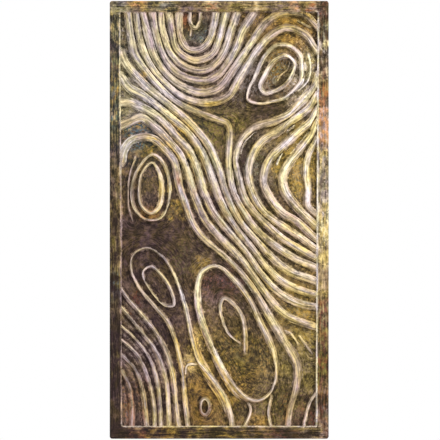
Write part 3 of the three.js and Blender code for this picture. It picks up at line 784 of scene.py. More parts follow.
@dataclass
class Carving:
    """All the ridges, and the surface that they give.

    A ridge's banks are bank_width wide, and its crown falls by the two shares of crown_fall towards its
    left and right. fray and fraying make the wax's edge ragged. A free end sinks over run_out.
    """

    ridges: list[Ridge] = field(default_factory=list)
    sample_step: float = 2.5
    spans_at_once: int = 16
    least_distance: float = 0.1
    least_half: float = 0.5
    run_out: float = 22.0
    run_out_rise: float = 0.25
    run_out_rub: float = 0.4
    bank_width: float = 2.8
    bank_share: float = 0.75
    crown_fall: Place = (0.14, 0.22)
    ledge_fall: float = 0.85
    ledge_wax: float = 1.4
    crest_line: float = 4.5
    wax_start: float = -0.6
    wax_edge: float = 1.7
    wax_share: float = 0.6
    fray: float = 4.5
    fraying: tuple[Noise, ...] = (Noise(14.0, 9.0, 24), Noise(6.0, 9.0, 25, 0.5))
    fraying_middle: float = 0.75
    flow_foot: Place = (1.6, 3.6)
    swing_foot: Place = (1.6, 3.2)
    loop_foot: Place = (3.0, 3.0)

    def __post_init__(self) -> None:
        """Collect every ridge of the panel, and lay out its line."""
        turn = np.arange(8) * math.pi / 4
        oval = tuple((EYE_CENTRE[0] + EYE_HALF[0] * math.cos(a), EYE_CENTRE[1] + EYE_HALF[1] * math.sin(a))
                     for a in turn)
        eye = Ridge("eye", oval, left=(5,), right=(7,), closed=True)
        broad = (*MAIN_FLOW, *RIGHT_SWING, *TOP_LOOPS)
        self.ridges = [*broad, *LEFT_FAN, TALL_LOOP, *KNOT_RINGS, eye, OPEN_RING, HALF_KNOT, *FOOT_RIDGES]
        self.ridges += [Ridge(r.name, r.course, left=(SHORT_WIDTH,), right=(SHORT_WIDTH,), rise=SHORT_RISE,
                              free_start=True, free_end=True) for r in SHORT_RIDGES]
        self.lines = [even_stations(smooth_course(r.course, r.closed), self.sample_step)
                      for r in self.ridges]
        self.feet = [self.foot(ridge) for ridge in self.ridges]
        self.fan = (len(broad), len(broad) + len(LEFT_FAN))
        thin = [ridge not in broad and ridge.rise > SHORT_RISE for ridge in self.ridges]
        self.thin = np.array([*thin, False])

    def foot(self, ridge: Ridge) -> Place:
        """Find how far a ridge's banks stand out beyond its cut lines.

        Args:
            ridge: One of the ridges.

        Returns:
            The distances on its left and right.
        """
        families = ((MAIN_FLOW, self.flow_foot), (RIGHT_SWING, self.swing_foot), (TOP_LOOPS, self.loop_foot))
        return next((foot for family, foot in families if ridge in family), (0.0, 0.0))

    def widths(self, number: int, along: np.ndarray) -> tuple[np.ndarray, np.ndarray]:
        """Give a ridge's width.

        Args:
            number: The ridge's number.
            along: Ways along its line.

        Returns:
            Its half-widths there, on its left and right.
        """
        ridge, (left_foot, right_foot) = self.ridges[number], self.feet[number]
        share = along / self.lines[number][1][-1]
        left, right = spread(ridge.left, share, ridge.closed), spread(ridge.right, share, ridge.closed)
        return left + left_foot, right + right_foot

    def nearest(self, number: int, places: np.ndarray, reach: float) -> tuple[np.ndarray, ...]:
        """Find the nearest point of a ridge's line to each place within reach.

        Args:
            number: The ridge's number.
            places: The places on the face.
            reach: How far to look.

        Returns:
            The indices of the places within reach, and for each its distance, its side of the line, 1 on
            the right, the way along, and how far it lies to the upper right of the line.
        """
        path, along = self.lines[number]
        step = along[1]
        best = np.full(len(places), reach)
        side, travelled, lean = (np.zeros(len(places)) for _ in range(3))
        for first in range(0, len(path) - 1, self.spans_at_once):
            block = path[first:first + self.spans_at_once + 1]
            low, high = block.min(0) - reach, block.max(0) + reach
            near = np.nonzero(((places >= low) & (places <= high)).all(axis=1))[0]
            if not len(near):
                continue
            start, run = block[:-1], np.diff(block, axis=0)
            away = places[near][:, None, :] - start[None]
            t = np.clip((away * run).sum(-1) / (run * run).sum(-1), 0, 1)
            across = away - t[..., None] * run
            distance = np.linalg.norm(across, axis=-1)
            pick = distance.argmin(axis=1)
            rows = np.arange(len(near))
            closer = distance[rows, pick] < best[near]
            rows, hit, chosen = rows[closer], near[closer], pick[closer]
            best[hit] = distance[rows, chosen]
            cross = run[chosen, 1] * away[rows, chosen, 0] - run[chosen, 0] * away[rows, chosen, 1]
            side[hit] = np.where(cross >= 0, 1, -1)
            travelled[hit] = along[first + chosen] + t[rows, chosen] * step
            tilt = across[rows, chosen].sum(-1) * math.sqrt(0.5)
            lean[hit] = tilt / np.maximum(distance[rows, chosen], self.least_distance)
        touched = np.nonzero(best < reach)[0]
        return touched, best[touched], side[touched], travelled[touched], lean[touched]

    def survey(self, places: np.ndarray, beyond: float = 0.0) -> Surface:
        """Find the carved surface at each place.

        Args:
            places: The places on the face.
            beyond: How far past a ridge's edge it still guides the ground.

        Returns:
            What the carving gives there.
        """
        n = len(places)
        out = Surface(*(np.full(n, FAR) for _ in range(2)), *(np.full(n, -1) for _ in range(3)),
                      *(np.zeros(n) for _ in range(6)))
        for number, ridge in enumerate(self.ridges):
            reach = float(max(ridge.left + ridge.right)) + max(self.feet[number]) + beyond
            touched, distance, side, along, lean = self.nearest(number, places, reach)
            left, right = self.widths(number, along)
            inside = np.where(side > 0, right, left) - distance
            first = inside > out.inside[touched]
            second = ~first & (inside > out.rival_inside[touched])
            hit = touched[first]
            out.rival_inside[hit], out.rival[hit] = out.inside[hit], out.owner[hit]
            out.inside[hit], out.owner[hit] = inside[first], number
            out.distance[hit], out.side[hit], out.along[hit] = distance[first], side[first], along[first]
            out.lean[hit] = lean[first]
            hit = touched[second]
            out.rival_inside[hit], out.rival[hit] = inside[second], number
        out.guide = out.owner.copy()
        out.owner[out.inside <= 0] = -1
        out.rival[out.rival_inside <= 0] = -1
        out.rival_inside[out.rival_inside <= 0] = FAR
        for number in range(len(self.ridges)):
            mine = np.nonzero(out.owner == number)[0]
            out.height[mine], out.rub[mine] = self.section(number, out, mine)
        return out

    def section(self, number: int, out: Surface, mine: np.ndarray) -> tuple[np.ndarray, np.ndarray]:
        """Cut one ridge's section.

        Args:
            number: The ridge's number.
            out: What is known of the places.
            mine: The places that the ridge owns.

        Returns:
            The height over the ground, and how well wax takes.
        """
        ridge = self.ridges[number]
        distance, along, on_right = out.distance[mine], out.along[mine], out.side[mine] > 0
        length = self.lines[number][1][-1]
        margin = np.minimum(out.inside[mine], (out.inside[mine] - out.rival_inside[mine]) / 2)
        half = np.maximum(distance + margin, self.least_half)
        t = distance / half
        bank = smoothstep(0, np.minimum(self.bank_width, self.bank_share * half), margin)
        crown = 1 - np.where(on_right, self.crown_fall[1], self.crown_fall[0]) * t * t
        ledge = spread(ridge.ledge, along / length, ridge.closed) * on_right
        height = bank * crown * (1 - ledge) + (1 - self.ledge_fall * t) * ledge
        ragged = summed(self.fraying, along + NOISE_SHIFT * number, SIDE_SHIFT * on_right)
        frayed = margin + self.fray * (ragged - self.fraying_middle)
        edge = smoothstep(self.wax_start, np.minimum(self.wax_edge, self.wax_share * half), frayed)
        on_ledge = smoothstep(0, 1, self.ledge_wax - distance / self.crest_line)
        rub = edge * (1 - ledge) + on_ledge * ledge
        fade = np.ones_like(height)
        for free, way in ((ridge.free_start, along), (ridge.free_end, length - along)):
            if free:
                fade *= self.run_out_rise + (1 - self.run_out_rise) * smoothstep(0, self.run_out, way)
        return height * fade * ridge.rise, rub * (self.run_out_rub + (1 - self.run_out_rub) * fade)


@dataclass
class CarvedPanel:
    """The whole panel as one mesh.

    The rows say how far inside an edge each row of points lies. The wax runs from the crest's tint to
    the flank's over flank_reach, which flank_lean shifts by the way the flank faces, so that the flank's
    tint comes nearer the crest on flanks that face the lower left, away from the light, as painted shade.
    flank_bare_and_shade is how much less of it took on the flanks: partly worn wax, and partly painted
    shade, as the lean makes the lower-left flanks barer. gleam gives the strength of the painted highlight
    that whitens the crests of broad and of thin ridges. ridge_corner_shade holds a share and what the lean
    adds to it, and wall_corner_shade a share, for the painted shade in the corners at the feet of ridges and
    walls, and clear_of_wall the distances kept on the ground and on the border. The arris is the rubbed line
    along the border's inner edge, partly painted light: a painted highlight on the left and bottom walls,
    which face the light, and painted shade along the top, which faces away from it. On the left, the right,
    the top and the bottom it lies arris_middle inside the field and reaches arris_half to both sides.
    """

    board: Board = field(default_factory=Board)
    station_step: float = 5.0
    inner_rows: int = 4
    bank_rows: Widths = (0.0, 1.1, 2.7)
    wall_rows: Widths = (-9.0, -5.0, -3.2, -1.4, 0.0, 1.2, 2.4, 4.0)
    wall_step: float = 5.0
    least_radius: float = 1.0
    least_reach: float = 0.5
    least_offset: float = 0.3
    edge_rows: Widths = (0.0, 0.4, 1.2, 3.0, 8.0)
    edge_step: float = 6.0
    rim_match: float = 0.8
    rim_slack: float = 0.4
    overlap: float = 0.2
    ground_step: float = 4.4
    border_step: float = 5.5
    scatter: float = 0.3
    scatter_seed: int = 7
    clear_of_ridge: float = 1.0
    clear_of_wall: Place = (3.5, 11.0)
    clear_of_edge: float = 10.0
    merge_distance: float = 1e-3
    carved_slack: float = 0.05
    worn_width: float = 3.6
    worn_drop: float = 1.6
    wall_width: float = 2.0
    gouge: tuple[Noise, ...] = (Noise(60.0, 3.4, 11), Noise(25.0, 2.2, 15, 0.5))
    gouge_middle: float = 1.5
    gouge_depth: float = 1.1
    stipple: tuple[Noise, ...] = (Noise(6.0, 7.0, 12, 0.6), Noise(17.0, 21.0, 13))
    stipple_depth: float = 1.3
    wear: Noise = Noise(26.0, 60.0, 14)
    wear_depth: float = 0.5
    wear_gap: float = 1.0
    marks_shift: Place = (400.0, 700.0)
    guided: float = 26.0
    ground_stretch: float = 9.0
    border_stretch: float = 2.5
    # The lean shifts the flank's tint nearer the crest on flanks facing the lower left, and makes those
    # flanks barer: painted shade.
    flank_reach: Place = (2.4, 10.5)
    flank_lean: Place = (0.8, 1.6)
    flank_bare_and_shade: Place = (0.12, 0.05)
    thin_flank: float = 0.8
    waxed: Place = (0.15, 0.6)
    # The painted highlight along the crests: its strength on broad and thin ridges, width, least share, side
    # shift and noise.
    painted_highlight: Place = (0.1, 0.3)
    painted_highlight_width: float = 2.3
    painted_highlight_least: float = 0.5
    painted_highlight_sides: float = 3.0
    painted_highlight_noise: Noise = Noise(34.0, 9.0, 23)
    spill: float = 18.0
    spill_cover: float = 0.55
    # Painted shade in the corners at the feet of ridges and walls: its reach, the share kept beside a ridge
    # and what the lean adds to it, and the share kept beside a wall.
    corner: float = 4.0
    ridge_corner_shade: Place = (0.6, 0.15)
    wall_corner_shade: float = 0.4
    arris_ends: Place = (0.985, 0.99)
    arris_middle: Widths = (1.5, -1.5, 1.0, 0.7)
    arris_half: Widths = (1.5, 2.1, 1.6, 1.4)
    arris_swell: float = 1.2
    arris_swell_reach: float = 130.0
    arris_soft: float = 1.0

    def __post_init__(self) -> None:
        """Set out the carving on the board."""
        self.carving = Carving()

    def free_width(self, number: int, stations: np.ndarray, outward: np.ndarray,
                   half: np.ndarray) -> np.ndarray:
        """Find how far a ridge reaches before its neighbour takes over.

        Args:
            number: The ridge's number.
            stations: Places on its crest line.
            outward: The direction across it at each station.
            half: Its own half-width at each station.

        Returns:
            The distance to the ridge's edge or to the middle of the groove.
        """
        reach = half.copy()
        for _ in range(2):
            found = self.carving.survey(stations + outward * reach[:, None])
            other = np.where(found.owner == number, found.rival_inside, found.inside)
            reach = np.clip(reach + np.minimum(0, (half - reach - other) / 2), self.least_reach, half)
        return reach

    def ridge_points(self) -> tuple[np.ndarray, Links]:
        """Lay rows of points along every ridge.

        Returns:
            The points, and the lines that join them.
        """
        rows: list[Row] = []
        for number, ridge in enumerate(self.carving.ridges):
            path, along = even_stations(smooth_course(ridge.course, ridge.closed), self.station_step)
            tangent = np.gradient(path, axis=0)
            if ridge.closed:
                tangent[0] = path[1] - path[-2]
                path, tangent, along = path[:-1], tangent[:-1], along[:-1]
            tangent /= np.linalg.norm(tangent, axis=1)[:, None]
            normal = np.stack([tangent[:, 1], -tangent[:, 0]], axis=1)
            rows.append((number, path, ridge.closed, False))
            for sign, half in zip((-1, 1), self.carving.widths(number, along)):
                reach = self.free_width(number, path, normal * sign, half)
                body = np.maximum(reach - self.bank_rows[-1], self.least_reach)
                offsets = [(np.maximum(reach - inset, self.least_offset), inset == 0.0)
                           for inset in self.bank_rows]
                offsets += [(body * k / self.inner_rows, False) for k in range(1, self.inner_rows)]
                rows += [(number, path + normal * sign * offset[:, None], ridge.closed, rim)
                         for offset, rim in offsets]
        return self.join_rows(rows)

    def join_rows(self, rows: list[Row]) -> tuple[np.ndarray, Links]:
        """Keep the points that lie on their own ridge and over the wall, and link them along each row.

        Args:
            rows: Each row's ridge, its points, and whether it is closed and lies on the ridge's rim.

        Returns:
            The points that are kept, and the lines that join them.
        """
        found = self.carving.survey(np.concatenate([points for _, points, _, _ in rows]))
        kept, links, offset, start = [], [], 0, 0
        for number, points, closed, rim in rows:
            part = slice(start, start + len(points))
            start += len(points)
            owner, rival = found.owner[part], found.rival[part]
            keep = owner == number
            if rim:
                other = np.where(keep, rival, owner)
                between = np.abs(found.inside[part] - found.rival_inside[part]) < self.rim_match
                keep = (between & (other > number)) | (found.inside[part] < self.rim_slack)
            keep &= self.wall_height(points) < self.board.ground + found.height[part] + self.overlap
            links += self.row_links(keep, offset, closed)
            kept.append(points[keep])
            offset += int(keep.sum())
        return np.concatenate(kept), links

    @staticmethod
    def row_links(keep: np.ndarray, offset: int, closed: bool) -> Links:
        """Link the neighbours of a row that are both kept.

        Args:
            keep: Which of the row's points are kept.
            offset: The number of the first of them.
            closed: Whether the row's last point joins its first.

        Returns:
            The pairs of numbers.
        """
        index = np.full(len(keep), -1)
        index[keep] = offset + np.arange(keep.sum())
        pairs = [*zip(index[:-1], index[1:]), *([(index[-1], index[0])] if closed else [])]
        return [(int(a), int(b)) for a, b in pairs if a >= 0 and b >= 0]

    def wall_height(self, places: np.ndarray) -> np.ndarray:
        """Give the border's surface: flat, with a worn inner edge and a steep wall to the ground.

        Args:
            places: The places on the face.

        Returns:
            The level out from the back.
        """
        depth = self.board.inside_field(places)
        worn = self.worn_drop * smoothstep(-self.worn_width, 0.0, depth)
        fall = (self.board.field_depth - self.worn_drop) * smoothstep(0.0, self.wall_width, depth)
        return self.board.thickness - worn - fall

    def edge_drop(self, places: np.ndarray) -> np.ndarray:
        """Round the face off towards the board's outer edge.

        Args:
            places: The places on the face.

        Returns:
            How far the face falls there.
        """
        radius = self.board.edge_radius
        depth = np.clip(self.board.inside_board(places), 0, radius)
        return radius - np.sqrt(np.maximum(radius ** 2 - (radius - depth) ** 2, 0))

    def outline_points(self) -> tuple[np.ndarray, Links]:
        """Lay rows of points along the board's edge and the field's wall.

        Returns:
            The points, and the lines that join them.
        """
        middle, half = self.board.field_middle_and_half()
        rows, links, offset = [], [], 0
        for inward in self.edge_rows:
            radius = max(self.board.corner_radius - inward, self.least_radius)
            ring = self.board.outline(np.zeros(2), self.board.half - inward, radius, self.edge_step)
            rows.append(ring)
            links += self.row_links(np.full(len(ring), True), offset, True)
            offset += len(ring)
        for inward in self.wall_rows:
            radius = max(self.board.field_corner_radius - inward, self.least_radius)
            ring = self.board.outline(middle, half - inward, radius, self.wall_step)
            ring[:, 0] *= self.board.growth(ring)
            found = self.carving.survey(ring)
            keep = self.wall_height(ring) >= self.board.ground + found.height - self.overlap
            links += self.row_links(keep, offset, True)
            rows.append(ring[keep])
            offset += int(keep.sum())
        return np.concatenate(rows), links

    def loose_points(self) -> np.ndarray:
        """Scatter points over the open ground and the border.

        Returns:
            The points.
        """
        rng = np.random.default_rng(self.scatter_seed)
        parts = []
        for step, in_field in ((self.ground_step, True), (self.border_step, False)):
            x, z = (np.arange(-half, half, step) for half in self.board.half)
            grid = np.stack(np.meshgrid(x, z), axis=-1).reshape(-1, 2)
            grid = grid + rng.uniform(-self.scatter, self.scatter, grid.shape) * step
            depth = self.board.inside_field(grid)
            if in_field:
                grid = grid[depth > self.clear_of_wall[0]]
                grid = grid[self.carving.survey(grid).inside < -self.clear_of_ridge]
            else:
                clear = self.board.inside_board(grid) > self.clear_of_edge
                grid = grid[(depth < -self.clear_of_wall[1]) & clear]
            parts.append(grid)
        return np.concatenate(parts)

    def build(self, name: str) -> bpy.types.Object:
        """Model the panel.

        Args:
            name: Name of the new object.

        Returns:
            The finished object, at the origin.
        """
        ridge_points, ridge_links = self.ridge_points()
        outline_points, outline_links = self.outline_points()
        points = np.concatenate([outline_points, ridge_points, self.loose_points()])
        shift = len(outline_points)
        links = outline_links + [(a + shift, b + shift) for a, b in ridge_links]
        LOG.info("face points %d, lines %d", len(points), len(links))
        result = delaunay_2d_cdt([Vector(p) for p in points], links, [], 0, self.merge_distance)
        face = np.array([tuple(v) for v in result[0]])
        triangles = [tuple(t) for t in result[2]]
        found = self.carving.survey(face, self.guided)
        ridge_level = self.board.ground + found.height
        wall_level = self.wall_height(face) - self.edge_drop(face)
        carved = (ridge_level > wall_level - self.carved_slack) & (self.board.inside_field(face) > 0)
        level = np.maximum(ridge_level, wall_level) + self.tool_marks(face, found, carved)
        mesh = bpy.data.meshes.new(name)
        vertices = np.stack([face[:, 0] * MM, -level * MM, face[:, 1] * MM], axis=1)
        mesh.from_pydata(vertices.tolist(), [], triangles)
        panel = bpy.data.objects.new(name, mesh)
        bpy.context.scene.collection.objects.link(panel)
        self.lay_flow(mesh, face, found, carved)
        self.rub_waxes(mesh, face, found, carved)
        self.close_back(panel)
        return panel

    def tool_marks(self, face: np.ndarray, found: Surface, carved: np.ndarray) -> np.ndarray:
        """Give the small unevenness that gouge and brush leave, always below the board's face.

        Args:
            face: The places on the face.
            found: What the carving gives there.
            carved: Which of them are in the carved field.

        Returns:
            The height to add.
        """
        x, z = face[:, 0] + self.marks_shift[0], face[:, 1] + self.marks_shift[1]
        across = found.distance * found.side + SIDE_SHIFT
        along = found.along + STREAK_SHIFT * found.owner
        streak = (summed(self.gouge, along, across) - self.gouge_middle) * self.gouge_depth * found.rub
        marks = np.where(found.owner >= 0, streak, summed(self.stipple, x, z) * self.stipple_depth)
        inner = self.board.inside_board(face) > self.board.edge_radius
        worn = (self.wear.at(x, z) - self.wear.weight) * self.wear_depth * inner
        near_field = self.board.inside_field(face) > -self.wear_gap
        return np.where(carved, marks, np.where(near_field, 0.0, worn))

    def lay_flow(self, mesh: bpy.types.Mesh, face: np.ndarray, found: Surface, carved: np.ndarray) -> None:
        """Lay the UV map that streaks follow: along each ridge and the border, and shorter on the ground.

        Args:
            mesh: The panel's mesh.
            face: The places on the face.
            found: What the carving gives there.
            carved: Which of them are in the carved field.
        """
        guided = carved & (found.guide >= 0)
        stretch = np.where(found.owner >= 0, 1.0, self.ground_stretch)
        upright = np.abs(face[:, 0]) / self.board.width > np.abs(face[:, 1]) / self.board.height
        border = np.where(upright[:, None], face[:, ::-1], face) * (self.border_stretch, 1)
        loose = np.where(carved[:, None], face * (self.ground_stretch, 1), border)
        travelled = found.along * stretch + STREAK_SHIFT * found.guide
        lines = np.stack([travelled, found.distance * found.side], axis=1)
        flow = np.where(guided[:, None], lines, loose) * MM
        uv = mesh.uv_layers.new(name="flow")
        loop_vertex = np.zeros(len(mesh.loops), np.int32)
        mesh.loops.foreach_get("vertex_index", loop_vertex)
        uv.data.foreach_set("uv", flow[loop_vertex].astype(np.float32).ravel())

    def rub_waxes(self, mesh: bpy.types.Mesh, face: np.ndarray, found: Surface, carved: np.ndarray) -> None:
        """Store the stain, the wax, its flecks and how much of them took, at every point, with the painted
        highlight on the crests and the painted shade on lower-left flanks and in corners in them.

        Args:
            mesh: The panel's mesh.
            face: The places on the face.
            found: What the carving gives there.
            carved: Which of them are in the carved field.
        """
        crest, flank, ground, border, arris = (
            rubbing.at(face) for rubbing in (CREST_WAX, FLANK_WAX, GROUND_WAX, BORDER_WAX, ARRIS_WAX_AND_PAINTED_LIGHT))
        thin = self.carving.thin[found.owner]
        shrink = np.where(thin, self.thin_flank, 1.0)
        # The flank's tint takes over nearer the crest on flanks that face the lower left, away from the
        # light: painted shade.
        start, end = (shrink * (reach + more * found.lean)
                      for reach, more in zip(self.flank_reach, self.flank_lean))
        low = smoothstep(start, end, found.distance)
        # Painted highlight: the wax turns towards white along the crest lines.
        painted_highlight = self.crest_painted_highlight(found, thin)[:, None]
        on_ridge = smoothstep(*self.waxed, found.rub) * carved
        spilt = self.spilt(found) * carved
        line = self.arris(face, carved & (found.owner >= 0))
        white = np.array(hex_to_linear(Tint.WHITE.value))
        layers = []
        for k in range(2):
            floor = ground[k] + (flank[k] - ground[k]) * spilt[:, None]
            ridge = crest[k] + (flank[k] - crest[k]) * low[:, None]
            ridge = ridge + (white - ridge) * painted_highlight
            layer = np.where(carved[:, None], floor + (ridge - floor) * on_ridge[:, None], border[k])
            layers.append(layer + (arris[k] - layer) * line[:, None])
        # Less wax on the flanks: partly worn wax, and partly painted shade, as the lean makes the lower-left
        # flanks barer.
        bare = (self.flank_bare_and_shade[0] - self.flank_bare_and_shade[1] * found.lean) * low
        taken = found.rub * (1 - bare) * crest[2]
        # The ground's wax cover drops in the corners at the feet of ridges and walls: painted shade.
        floor = (ground[2] + (self.spill_cover - ground[2]) * spilt) * self.painted_corner_shade(face, found)
        cover = np.where(carved, floor + (taken - floor) * on_ridge, border[2])
        cover = cover + (arris[2] - cover) * line
        # The wax colour carries the painted highlight on the crests, and the cover carries the painted shade
        # on lower-left flanks and in corners.
        for name, colour in zip(("wax", "fleck", "stain"), (*layers, STAIN.at(face)[0])):
            attribute = mesh.attributes.new(name, "FLOAT_COLOR", "POINT")
            rgba = np.concatenate([colour, np.ones((len(face), 1))], axis=1)
            attribute.data.foreach_set("color", rgba.astype(np.float32).ravel())
        attribute = mesh.attributes.new("rub", "FLOAT", "POINT")
        attribute.data.foreach_set("value", cover.astype(np.float32))

    def crest_painted_highlight(self, found: Surface, thin: np.ndarray) -> np.ndarray:
        """Paint a highlight along the crest lines by whitening the wax, most of all on thin ridges.

        Args:
            found: What the carving gives at each place.
            thin: Which places are on thin ridges.

        Returns:
            How far the wax turns to white as a painted highlight, from 0 to 1.
        """
        travelled = found.along + NOISE_SHIFT * found.owner
        patchy = self.painted_highlight_least + self.painted_highlight_noise.at(travelled, found.side * self.painted_highlight_sides)
        strength = np.where(thin, self.painted_highlight[1], self.painted_highlight[0]) * np.where(found.owner >= 0, patchy, 0.0)
        return np.clip(strength * np.exp(-(found.distance / self.painted_highlight_width) ** 2), 0, 1)

    def spilt(self, found: Surface) -> np.ndarray:
        """Say how much of a fan ridge's wax ran on over the ground at its lower left."""
        fan = (found.guide >= self.carving.fan[0]) & (found.guide < self.carving.fan[1]) & (found.lean < 0)
        return fan * smoothstep(self.spill, 0.0, -found.inside)

    def painted_corner_shade(self, face: np.ndarray, found: Surface) -> np.ndarray:
        """Say how much wax cover is kept: less in the corners at the feet of ridges and walls, as painted
        shade, most on the ridges' lower-left sides.

        Args:
            face: The places on the face.
            found: What the carving gives there.

        Returns:
            The share of the wax cover kept there, lowered in the corners as painted shade.
        """
        gap = np.where(found.guide >= 0, -found.inside, self.corner)
        deepest = self.ridge_corner_shade[0] + self.ridge_corner_shade[1] * found.lean
        by_ridge = deepest + (1 - deepest) * smoothstep(0, self.corner, gap)
        from_wall = smoothstep(self.wall_width, self.wall_width + self.corner, self.board.inside_field(face))
        return by_ridge * (self.wall_corner_shade + (1 - self.wall_corner_shade) * from_wall)

    def arris(self, face: np.ndarray, ridged: np.ndarray) -> np.ndarray:
        """Say how much of the rubbed line along the border's inner edge, partly painted light, shows at each
        place.

        Args:
            face: The places on the face.
            ridged: Which of them are on a ridge.

        Returns:
            The share of the line, from 0 to 1.
        """
        depth = self.board.inside_field(face)
        middle, half = self.board.field_middle_and_half()
        offset = (face - middle) / half
        side_end, top_end = self.arris_ends
        left, right = offset[:, 0] < -side_end, offset[:, 0] > side_end
        top = (offset[:, 1] > top_end) & ~left & ~right
        swell = np.exp(-(face[:, 1] / self.arris_swell_reach) ** 2)
        centre, thick = (np.select([left, right, top], parts[:3], parts[3])
                         for parts in (self.arris_middle, self.arris_half))
        centre = np.where(left, centre * swell, centre)
        thick = np.where(left, thick + self.arris_swell * swell, thick)
        soft = self.arris_soft
        return smoothstep(thick + soft, thick - soft, np.abs(depth - centre)) * ~ridged

    def close_back(self, panel: bpy.types.Object) -> None:
        """Draw the edges back from the face, ease the back's edge and close it.

        Args:
            panel: The panel, still an open face.
        """
        bpy.ops.object.select_all(action="DESELECT")
        bpy.context.view_layer.objects.active = panel
        panel.select_set(True)
        bpy.ops.object.mode_set(mode="EDIT")
        bpy.ops.mesh.select_mode(type="EDGE")
        bpy.ops.mesh.select_all(action="DESELECT")
        bpy.ops.mesh.select_non_manifold(extend=False, use_wire=False, use_boundary=True,
                                         use_multi_face=False, use_non_contiguous=False, use_verts=False)
        ease = self.board.back_edge
        for run in (self.board.thickness - self.board.edge_radius - ease, ease):
            bpy.ops.mesh.extrude_edges_move(TRANSFORM_OT_translate={"value": (0, run * MM, 0)})
        shrink = 1 - ease / self.board.half
        bpy.ops.transform.resize(value=(shrink[0], 1, shrink[1]))
        bpy.ops.mesh.edge_face_add()
        bpy.ops.mesh.select_all(action="SELECT")
        bpy.ops.mesh.normals_make_consistent(inside=False)
        bpy.ops.object.mode_set(mode="OBJECT")
        panel.data.shade_smooth()
        self.mark_back(panel.data)

    def mark_back(self, mesh: bpy.types.Mesh) -> None:
        """Mark the points of the back, which has bare stained wood.

        Args:
            mesh: The panel's closed mesh.
        """
        place = np.zeros(len(mesh.vertices) * 3, np.float32)
        mesh.vertices.foreach_get("co", place)
        layer = mesh.attributes.new("back", "FLOAT", "POINT")
        layer.data.foreach_set("value", (place[1::3] > -0.5 * self.board.thickness * MM).astype(np.float32))


